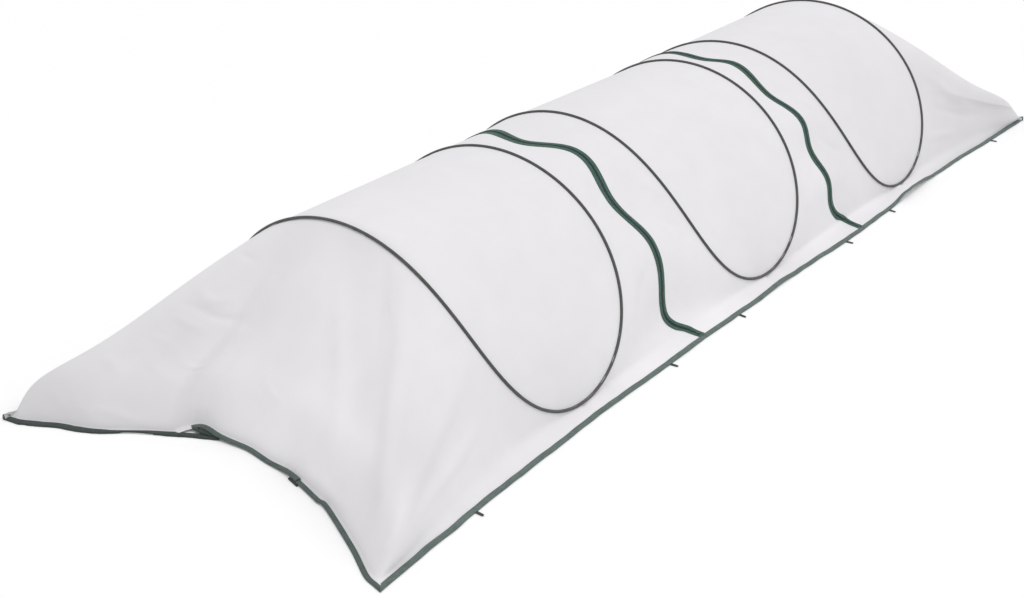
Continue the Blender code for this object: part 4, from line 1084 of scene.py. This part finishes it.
def skirt_row(end, row, arch):
    """The cloth's points from an end hem up to the arch of the hoop behind it."""
    kind, value = row[:2]
    s = SKIRT_STEPS[:, None]
    if kind in ("wall", "kick"):
        f = end_place(end, value) if kind == "wall" else value * (FAN_SHARES[end, value][-1] + KICK_GAP_SHARE)
        ends = [hem_inside(end, f, d) for d in (HEM_INSET, BINDING_WIDTH)]
        low = min(value, math.pi - value) if kind == "wall" else 0
        spread = (1 - s) ** (1 + LOW_ROW_POWER * max(math.cos(2 * low), 0))
        points = arch + (ends[1] - arch) * np.concatenate([1 - s, spread, spread], axis=1)
        if kind == "wall":
            ripple = FOLD_DEPTH * math.sin(FOLD_COUNT * 2 * low) * 4 * s * (1 - s)
            bulge = np.sin(math.pi * (1 - s) ** by_side(BULGE_POWERS, end, value))
            bulge = by_side(SKIRT_BULGES, end, value) * math.sin(low) * bulge
            # s**2 * (1 - s) is 4 / 27 at its highest.
            lift = by_side(SKIRT_LIFTS, end, value) * math.sin(low) ** 3 * 27 / 4 * s**2 * (1 - s)
            points = points + outward(value) * (ripple + bulge + lift)
        return np.concatenate([ends, points])
    if kind == "strip":
        inner, kick = skirt_row(end, ("inner", value), arch), skirt_row(end, ("kick", value), KICKS[end, value])
        return off_ground(inner, kick, row[2])
    inset = HEM_INSET if kind == "edge" else BINDING_WIDTH
    level = BINDING_HEIGHT / 2
    ends = [corner_strip(end, value, inset, d, level) for d in (HEM_INSET, BINDING_WIDTH)]
    start = ends[1][0]
    points = [side_strip(start + (arch[0] - start) * share, value, inset, level) for share in SKIRT_STEPS]
    return np.concatenate([ends, points])


KICKS = {
    (end, side): kick_from(on_hoop(end, 0 if side == NEAR else math.pi, False), side)
    for end in ("front", "rear") for side in (NEAR, FAR)
}


def hoop_row(module, row):
    """The cloth's points from the front arch to the rear arch, all one point at and below the hoop's feet."""
    kind, value = row[:2]
    if kind == "wall":
        front, rear = on_hoop(module, value, True), on_hoop(module, value, False)
        return np.array([front] + [front + (rear - front) * share for share in SADDLE_STEPS] + [rear])
    foot = on_hoop(module, 0 if value == NEAR else math.pi, False)
    kick, inner = kick_from(foot, value), side_hem(foot[0], value, BINDING_WIDTH) + LEVEL
    if kind == "kick":
        point = kick
    elif kind == "strip":
        point = off_ground(inner, kick, row[2])
    else:
        point = side_hem(foot[0], value, HEM_INSET) + LEVEL if kind == "edge" else inner
    return np.array([point] * (2 + len(SADDLE_STEPS)))


def zip_row(name, number, direction, arch):
    """The cloth's points from a zip, on its side towards direction, to the arch of the next hoop."""
    row = ROWS[number]
    kind, value = row[:2]
    centre, across, _ = ZIP_LINES[name][number]
    edge = centre + across * FLEECE_TO_ZIP * direction
    flat = centre + across * FLAT_BESIDE_ZIP * direction
    if kind in ("edge", "inner"):
        inset = HEM_INSET if kind == "edge" else BINDING_WIDTH
        places = [edge[0], flat[0]] + [flat[0] + (arch[0] - flat[0]) * s for s in ZIP_SIDE_STEPS]
        return np.array([side_hem(x, value, inset) + LEVEL for x in places])
    if kind in ("kick", "strip"):
        return np.array([edge, flat] + [flat + (arch - flat) * s for s in ZIP_SIDE_STEPS])
    sag = ZIP_SAG * eased(ZIP_ANGLES_DEG[name], ZIP_SAG_SHARES[name], value)
    lifted = flat + outward(value) * sag
    points = [lifted + (arch - lifted) * s - outward(value) * sag * gentle(1 - s) for s in ZIP_SIDE_STEPS]
    return np.array([edge, flat, *points])


fleece, add, between, raised, rough = new_material("bonded_fleece", 0.9, sheen_weight=0.1, sheen_roughness=0.6)
uv = add("ShaderNodeUVMap", uv_map="cloth").outputs["UV"]
cloudy = noise_of(add, 14.0, 5.0, 0.55)
fibres = noise_of(add, 900.0, 5.0, 0.7, Distortion=1.5)
dots = [
    add("ShaderNodeTexWave", {"Vector": uv, "Scale": 140.0}, bands_direction=way).outputs["Fac"]
    for way in ("X", "Y")
]
mixed = sum_of(add, "MULTIPLY_ADD", fibres, 0.35, cloudy)
ramp = between(mixed, (0.755, 0.742, 0.765), (0.815, 0.800, 0.822))
# The colour is scaled by a per-point attribute that holds painted light and painted shade.
painted_tone = add("ShaderNodeAttribute", attribute_name="painted_tone").outputs["Fac"]
toned = add("ShaderNodeVectorMath", {0: ramp.outputs["Color"], "Scale": painted_tone}, operation="SCALE").outputs[0]
fleece.node_tree.links.new(toned, fleece.node_tree.nodes["Principled BSDF"].inputs["Base Color"])
raised(sum_of(add, "MULTIPLY_ADD", sum_of(add, "MULTIPLY", *dots), 0.5, fibres), 0.00012, 0.6)
rough(fibres, 0.82, 0.96)

# The lowest rows of each cover are drawn evenly into its ground strip: how many, and how often.
FOOT_ROWS, LONG_FOOT_ROWS, FOOT_ROUNDS = 46, 66, 260
LOW_WALL_ROWS, LOW_WALL_ROUNDS = 20, 50
CORNER_DRAWN, CORNER_FREE = 0.85, 0.35


def eased_foot(part, side, free, count, rounds, drawn=0.0):
    """The lowest rows drawn evenly into the ground strip, less and less towards the hoop."""
    last = FIRST_WALL_ROW - 1 + count
    low = part[1:last] if side == NEAR else part[::-1][1:last]
    even = low[0] + (low[-1] - low[0]) * np.linspace(0, 1, len(low))[:, None, None]
    low += (even - low) * drawn * (free * np.clip(free - CORNER_FREE, 0, 1) ** 1.5)[None, :, None]
    free = free[None, :, None] * np.linspace(1, 0, len(low))[1:-1, None, None] ** 0.5
    for _ in range(rounds):
        low[1:-1] += 0.5 * free * ((low[:-2] + low[2:]) / 2 - low[1:-1])


# Creases that show in the loose cloth: (height, width, line of (angle round the tunnel, place along it)).
CREASES = {
    "front": (
        (0.0042, 0.02, ((86.5, -1.05), (85.1, -1.081), (81.8, -1.14), (79.4, -1.19), (77.7, -1.291))),
        (0.0062, 0.018, (
            (71.2, -1.014), (68.7, -1.088), (67.1, -1.132), (66.3, -1.203),
            (65.5, -1.26), (64.6, -1.356), (61.4, -1.407),
        )),
        (0.0014, 0.006, ((73.6, -1.022), (72.8, -1.035), (72, -1.071), (70.4, -1.095))),
        (-0.0012, 0.006, ((76.5, -1.02), (75.5, -1.05), (74, -1.1), (73, -1.16))),
        (0.0055, 0.022, (
            (47, -1.02), (46, -1.07), (45, -1.13), (45, -1.2),
            (47.5, -1.28), (49, -1.35), (50, -1.41),
        )),
        (0.003, 0.014, ((30, -1.06), (26, -1.137), (26, -1.223), (32, -1.336))),
        (0.003, 0.012, ((81, -1.25), (81, -1.297), (76.9, -1.321), (71.2, -1.359))),
        (0.0018, 0.006, ((116, -1.4), (113, -1.41), (110.5, -1.409))),
        (0.0018, 0.006, ((118.6, -1.418), (115.4, -1.423), (113.7, -1.424))),
        (0.0016, 0.006, ((111.3, -1.404), (108, -1.379), (104.7, -1.351))),
        (0.0032, 0.01, ((100.5, -1.285), (98.2, -1.256), (97.4, -1.226), (97.4, -1.186))),
        (0.0018, 0.007, ((92.5, -1.2), (90.8, -1.229), (88.4, -1.243), (86.7, -1.256))),
        (-0.0034, 0.009, ((113.5, -1.194), (112.9, -1.192), (105.5, -1.185), (99, -1.161))),
        (0.0026, 0.009, ((114.5, -1.155), (108.8, -1.171), (105.5, -1.156), (104.5, -1.14))),
        (0.0028, 0.009, ((112.5, -1.217), (108, -1.215), (105.5, -1.209))),
        (0.0016, 0.005, ((113.7, -1.262), (108.5, -1.258), (103.1, -1.265), (99, -1.238))),
        (0.0016, 0.005, ((112.9, -1.278), (107.2, -1.299), (101.5, -1.293))),
        (-0.0022, 0.006, ((113.7, -1.076), (108, -1.089), (104.7, -1.091))),
        (0.0032, 0.01, ((116.2, -1.329), (112.9, -1.336), (110.5, -1.35))),
        (-0.003, 0.014, ((40.9, -0.401), (36, -0.451), (29.5, -0.49), (20.5, -0.503), (9.8, -0.503))),
        (-0.0022, 0.009, ((69.5, -0.415), (66, -0.425), (62, -0.44))),
        (-0.002, 0.009, ((58.1, -0.41), (55, -0.425), (52.4, -0.44))),
        (0.0018, 0.008, ((63.5, -0.4), (61, -0.42), (58.5, -0.445))),
    ),
    "middle": (
        (0.003, 0.014, ((60.5, -0.275), (58.1, -0.262), (53.2, -0.24))),
        (-0.002, 0.009, ((50, -0.3), (47, -0.28), (45, -0.255))),
        (-0.0024, 0.012, ((40.9, 0.372), (34.4, 0.322), (22.9, 0.325))),
        (0.002, 0.009, ((57, 0.33), (54, 0.31), (51, 0.285))),
        (-0.0018, 0.008, ((74, 0.325), (71, 0.305), (68, 0.285))),
    ),
    "rear": (
        (0.003, 0.016, ((52, 1.04), (46, 1.12), (41, 1.182), (36, 1.26))),
        (-0.0024, 0.012, ((36, 1.04), (33, 1.11), (30, 1.2), (29, 1.29))),
        (0.0022, 0.012, ((24, 0.96), (22, 1.04), (20, 1.12))),
        (0.002, 0.009, ((60, 0.45), (57, 0.475), (54, 0.5))),
        (-0.002, 0.009, ((46, 0.44), (42, 0.47), (39, 0.505))),
    ),
}
CREASE_HELD, CREASE_FREE = 0.004, 0.02


def wall_row(degrees):
    """The row of a cover at an angle round the tunnel."""
    return FIRST_WALL_ROW + degrees / 180 * WALL_ROWS


def surface_point(grid, row, x):
    """The point of a cover at a row, which may lie between two, and at a place along the tunnel."""
    low = min(int(row), len(grid) - 2)
    line = grid[low] + (grid[low + 1] - grid[low]) * (row - low)
    return np.array([np.interp(x, line[:, 0], line[:, axis]) for axis in range(3)])


def creased(grid, creases, free):
    """The cover with ridges and valleys raised along lines of (angle round the tunnel, place along it)."""
    across = np.cross(np.gradient(grid, axis=1), np.gradient(grid, axis=0))
    length = np.linalg.norm(across, axis=2, keepdims=True)
    out = np.where(length > 1e-9, across / np.maximum(length, 1e-9), 0)
    moved = np.zeros(grid.shape[:2])
    for height, width, places in creases:
        rows = [(wall_row(t), x, 0) for t, x in places]
        line = np.array([surface_point(grid, row, x) for row, x, _ in eased_route(rows, 6)])
        steps, at = np.diff(line, axis=0), run_lengths(line)
        nearest, share = np.full(grid.shape[:2], 9.0), np.zeros(grid.shape[:2])
        for start, step, before_step in zip(line, steps, at):
            long = max(step @ step, 1e-12)
            k = np.clip(((grid - start) @ step) / long, 0, 1)
            gap = np.linalg.norm(grid - start - k[..., None] * step, axis=2)
            closer = gap < nearest
            nearest = np.where(closer, gap, nearest)
            share = np.where(closer, (before_step + k * math.sqrt(long)) / at[-1], share)
        taper = np.sin(math.pi * np.clip(share, 0.02, 0.98)) ** 0.6
        moved += height * taper * bell(nearest, width)
    return grid + out * (moved * free)[..., None]


# Painted light and painted shade on the thin cloth: darker patches of painted shade where it is gathered, and
# lighter patches of painted light where light would come through it: (angle round the tunnel, place along it,
# reach, tone).
STRIP_PAINTED_SHADE, STRIP_TOP, STRIP_SIDE, STRIP_START, STRIP_EASE = 0.08, 0.012, -0.40, 0.1, 0.15
PAINTED_LIGHT_AND_SHADE = {
    "front": (
        (82, -1.13, 0.14, 1.070), (119, -1.46, 0.22, 0.897), (89, -1.27, 0.14, 1.167), (60, -1.27, 0.09, 0.920),
        (74, -1.30, 0.09, 1.080), (89, -1.07, 0.09, 1.059), (111, -1.24, 0.09, 0.945), (8, -1.30, 0.09, 1.038),
        (89, -1.23, 0.09, 0.915), (4, -0.52, 0.20, 1.060), (52, -1.31, 0.09, 0.965), (122, -1.44, 0.09, 0.950),
    ),
    "middle": ((1, -0.26, 0.22, 1.077), (8, 0.32, 0.22, 1.055)),
    "rear": (
        (8, 1.20, 0.22, 0.907), (6, 0.56, 0.12, 1.060), (60, 0.75, 0.22, 0.951), (30, 1.36, 0.09, 0.960),
        (52, 1.08, 0.09, 0.955),
    ),
}
for module, (before, after) in MODULE_ENDS.items():
    grid = []
    for number, row in enumerate(ROWS):
        hoop = hoop_row(module, row)
        left = zip_row(before, number, 1, hoop[0]) if before in ZIP_MIDDLES else skirt_row(before, row, hoop[0])
        right = zip_row(after, number, -1, hoop[-1]) if after in ZIP_MIDDLES else skirt_row(after, row, hoop[-1])
        grid.append(np.concatenate([left, hoop, right[::-1]]))
    grid = np.array(grid)
    skirt, panel = 2 + len(SKIRT_STEPS), 2 + len(ZIP_SIDE_STEPS)
    skirt_free = np.concatenate([[0, 0], 1 - SKIRT_STEPS**3])
    panel_free = np.concatenate([[0, 0], np.sin(math.pi * ZIP_SIDE_STEPS) ** 0.5])
    for part, end in ((grid, before), (grid[:, ::-1], after)):
        for side in SIDES:
            if end in ZIP_MIDDLES:
                eased_foot(part[:, :panel], side, panel_free, LOW_WALL_ROWS, LOW_WALL_ROUNDS)
            elif (end, side) == ("front", NEAR):
                eased_foot(part[:, :skirt], side, skirt_free, LONG_FOOT_ROWS, FOOT_ROUNDS, CORNER_DRAWN)
            else:
                eased_foot(part[:, :skirt], side, skirt_free, FOOT_ROWS, FOOT_ROUNDS)
    hoop_lines = np.array([hoop_point(module, 2 * math.pi * i / 240) for i in range(240)])
    from_hoop = np.array([np.linalg.norm(row[:, None] - hoop_lines[None], axis=2).min(1) for row in grid])
    free = np.clip((from_hoop - CREASE_HELD) / CREASE_FREE, 0, 1)
    free[:2], free[-2:] = 0, 0
    grid = creased(grid, CREASES[module], free)
    rows, columns = grid.shape[:2]
    numbers = np.arange(rows * columns).reshape(rows, columns)
    faces = np.stack([numbers[:-1, :-1], numbers[:-1, 1:], numbers[1:, 1:], numbers[1:, :-1]], -1).reshape(-1, 4)
    mesh = bpy.data.meshes.new(f"{module}_fleece")
    mesh.from_pydata(grid.reshape(-1, 3).tolist(), [], faces.tolist())
    around = np.broadcast_to(run_lengths(grid[:, columns // 2])[:, None], (rows, columns))
    uv_grid = np.stack([grid[..., 0], around], -1).reshape(-1, 2)
    mesh.uv_layers.new(name="cloth").data.foreach_set("uv", uv_grid[faces.ravel()].astype(np.float32).ravel())
    work = bmesh.new()
    work.from_mesh(mesh)
    bmesh.ops.remove_doubles(work, verts=work.verts, dist=2e-5)
    bmesh.ops.dissolve_degenerate(work, edges=work.edges, dist=1e-6)
    work.to_mesh(mesh)
    work.free()
    if mesh.polygons[len(mesh.polygons) // 2].normal.z < 0:
        mesh.flip_normals()
    mesh.shade_smooth()
    places = np.empty(len(mesh.vertices) * 3, np.float32)
    mesh.vertices.foreach_get("co", places)
    places = places.reshape(-1, 3)
    # Painted light and painted shade, kept as a factor on each point of the cloth.
    painted_tone = np.ones(len(places))
    for t, x, reach, shade in PAINTED_LIGHT_AND_SHADE[module]:
        away = np.linalg.norm(places - surface_point(grid, wall_row(t), x), axis=1)
        painted_tone += (shade - 1) * bell(away, reach)
    x, y, z = places.T.astype(float)
    # Painted shade: the low cloth along the near side, from the middle towards the rear, is made darker.
    low = np.clip(1 - z / STRIP_TOP, 0, 1) * (y < STRIP_SIDE)
    painted_tone -= STRIP_PAINTED_SHADE * low * past(x, STRIP_START, STRIP_EASE)
    mesh.attributes.new("painted_tone", "FLOAT", "POINT").data.foreach_set("value", painted_tone.astype(np.float32))
    cover = shown(f"{module}_fleece", mesh)
    thick = cover.modifiers.new("thickness", "SOLIDIFY")
    thick.thickness = FLEECE_THICKNESS
    thick.offset = 0
    dressed(cover, f"{module}_module", f"{module}_fleece_cover", fleece)

# A small blank tab of folded tape is sewn into the front hem, under the end of its binding. Its near-black colour
# is painted shade from the binding's overlap.
shaded_tab_cloth = woven_finish("tab_tape_painted_shade", (0.008, 0.012, 0.011), (0.030, 0.036, 0.034))
TAB_F, TAB_LENGTH, TAB_REACH, METRES_PER_F = -0.272, 0.030, 0.0035, 0.484
rings = []
for d in np.linspace(-TAB_LENGTH / 2, TAB_LENGTH / 2, 16):
    f = TAB_F + d / METRES_PER_F
    curl = 0.0004 * math.sin(d * 300)
    shape = [(-TAB_REACH, 0.0001), (0.0012, 0.0001), (0.0012, 0.0009), (0.0055, 0.0046), (0.0052, 0.0053)]
    shape += [(0, 0.0042), (-TAB_REACH + 0.0004, 0.0034 + curl), (-TAB_REACH - 0.0004, 0.0018)]
    rings.append(ring(end_curve("front", f) * (1, 1, 0), end_inward("front", f), UP, shape))
tab = swept("front_hem_folded_tab", rings)
cloth_trim["front"].append(dressed(tab, "front_module", "front_hem_tab", shaded_tab_cloth))

# The floor is plain and pale, and the light is soft from all sides, a little stronger from above.
FLOOR_REACH, FLOOR_LEVEL, FLOOR_GLOW, WORLD_STRENGTH = 30, -0.0002, 0.045, 0.66
LAMPS = {"top_lamp": ((0, 0, 1), 0.87, 40), "side_lamp": ((0.40, -0.60, 0.70), 0.42, 30)}
floor_mesh = bpy.data.meshes.new("floor")
square = [(x * FLOOR_REACH, y * FLOOR_REACH, FLOOR_LEVEL) for x, y in ((-1, -1), (1, -1), (1, 1), (-1, 1))]
floor_mesh.from_pydata(square, [], [(0, 1, 2, 3)])
floor = shown("floor", floor_mesh)
floor_finish = bpy.data.materials.new("white_floor")
floor_finish.use_nodes = True
tree = floor_finish.node_tree
add = node_maker(tree)
shader = tree.nodes["Principled BSDF"]
shader.inputs["Base Color"].default_value = (0.93, 0.93, 0.93, 1)
shader.inputs["Roughness"].default_value = 0.9
seen = add("ShaderNodeLightPath").outputs
glow = add("ShaderNodeEmission", {"Strength": FLOOR_GLOW}).outputs["Emission"]
both = add("ShaderNodeAddShader", {0: shader.outputs["BSDF"], 1: glow}).outputs["Shader"]
mirrored = sum_of(add, "MAXIMUM", seen["Is Glossy Ray"], seen["Is Transmission Ray"])
direct = sum_of(add, "MAXIMUM", seen["Is Camera Ray"], mirrored)
mix = add("ShaderNodeMixShader", {"Fac": direct, 1: shader.outputs["BSDF"], 2: both})
tree.links.new(mix.outputs["Shader"], tree.nodes["Material Output"].inputs["Surface"])
floor.data.materials.append(floor_finish)
floor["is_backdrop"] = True

world = bpy.data.worlds.new("studio")
bpy.context.scene.world = world
world.use_nodes = True
world.node_tree.nodes["Background"].inputs["Color"].default_value = (1, 1, 1, 1)
world.node_tree.nodes["Background"].inputs["Strength"].default_value = WORLD_STRENGTH
for name, (from_way, energy, spread) in LAMPS.items():
    lamp = shown(name, bpy.data.lights.new(name, "SUN"))
    lamp.data.energy = energy
    lamp.data.angle = math.radians(spread)
    lamp.rotation_euler = Vector(from_way).to_track_quat("Z", "Y").to_euler()

low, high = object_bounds()
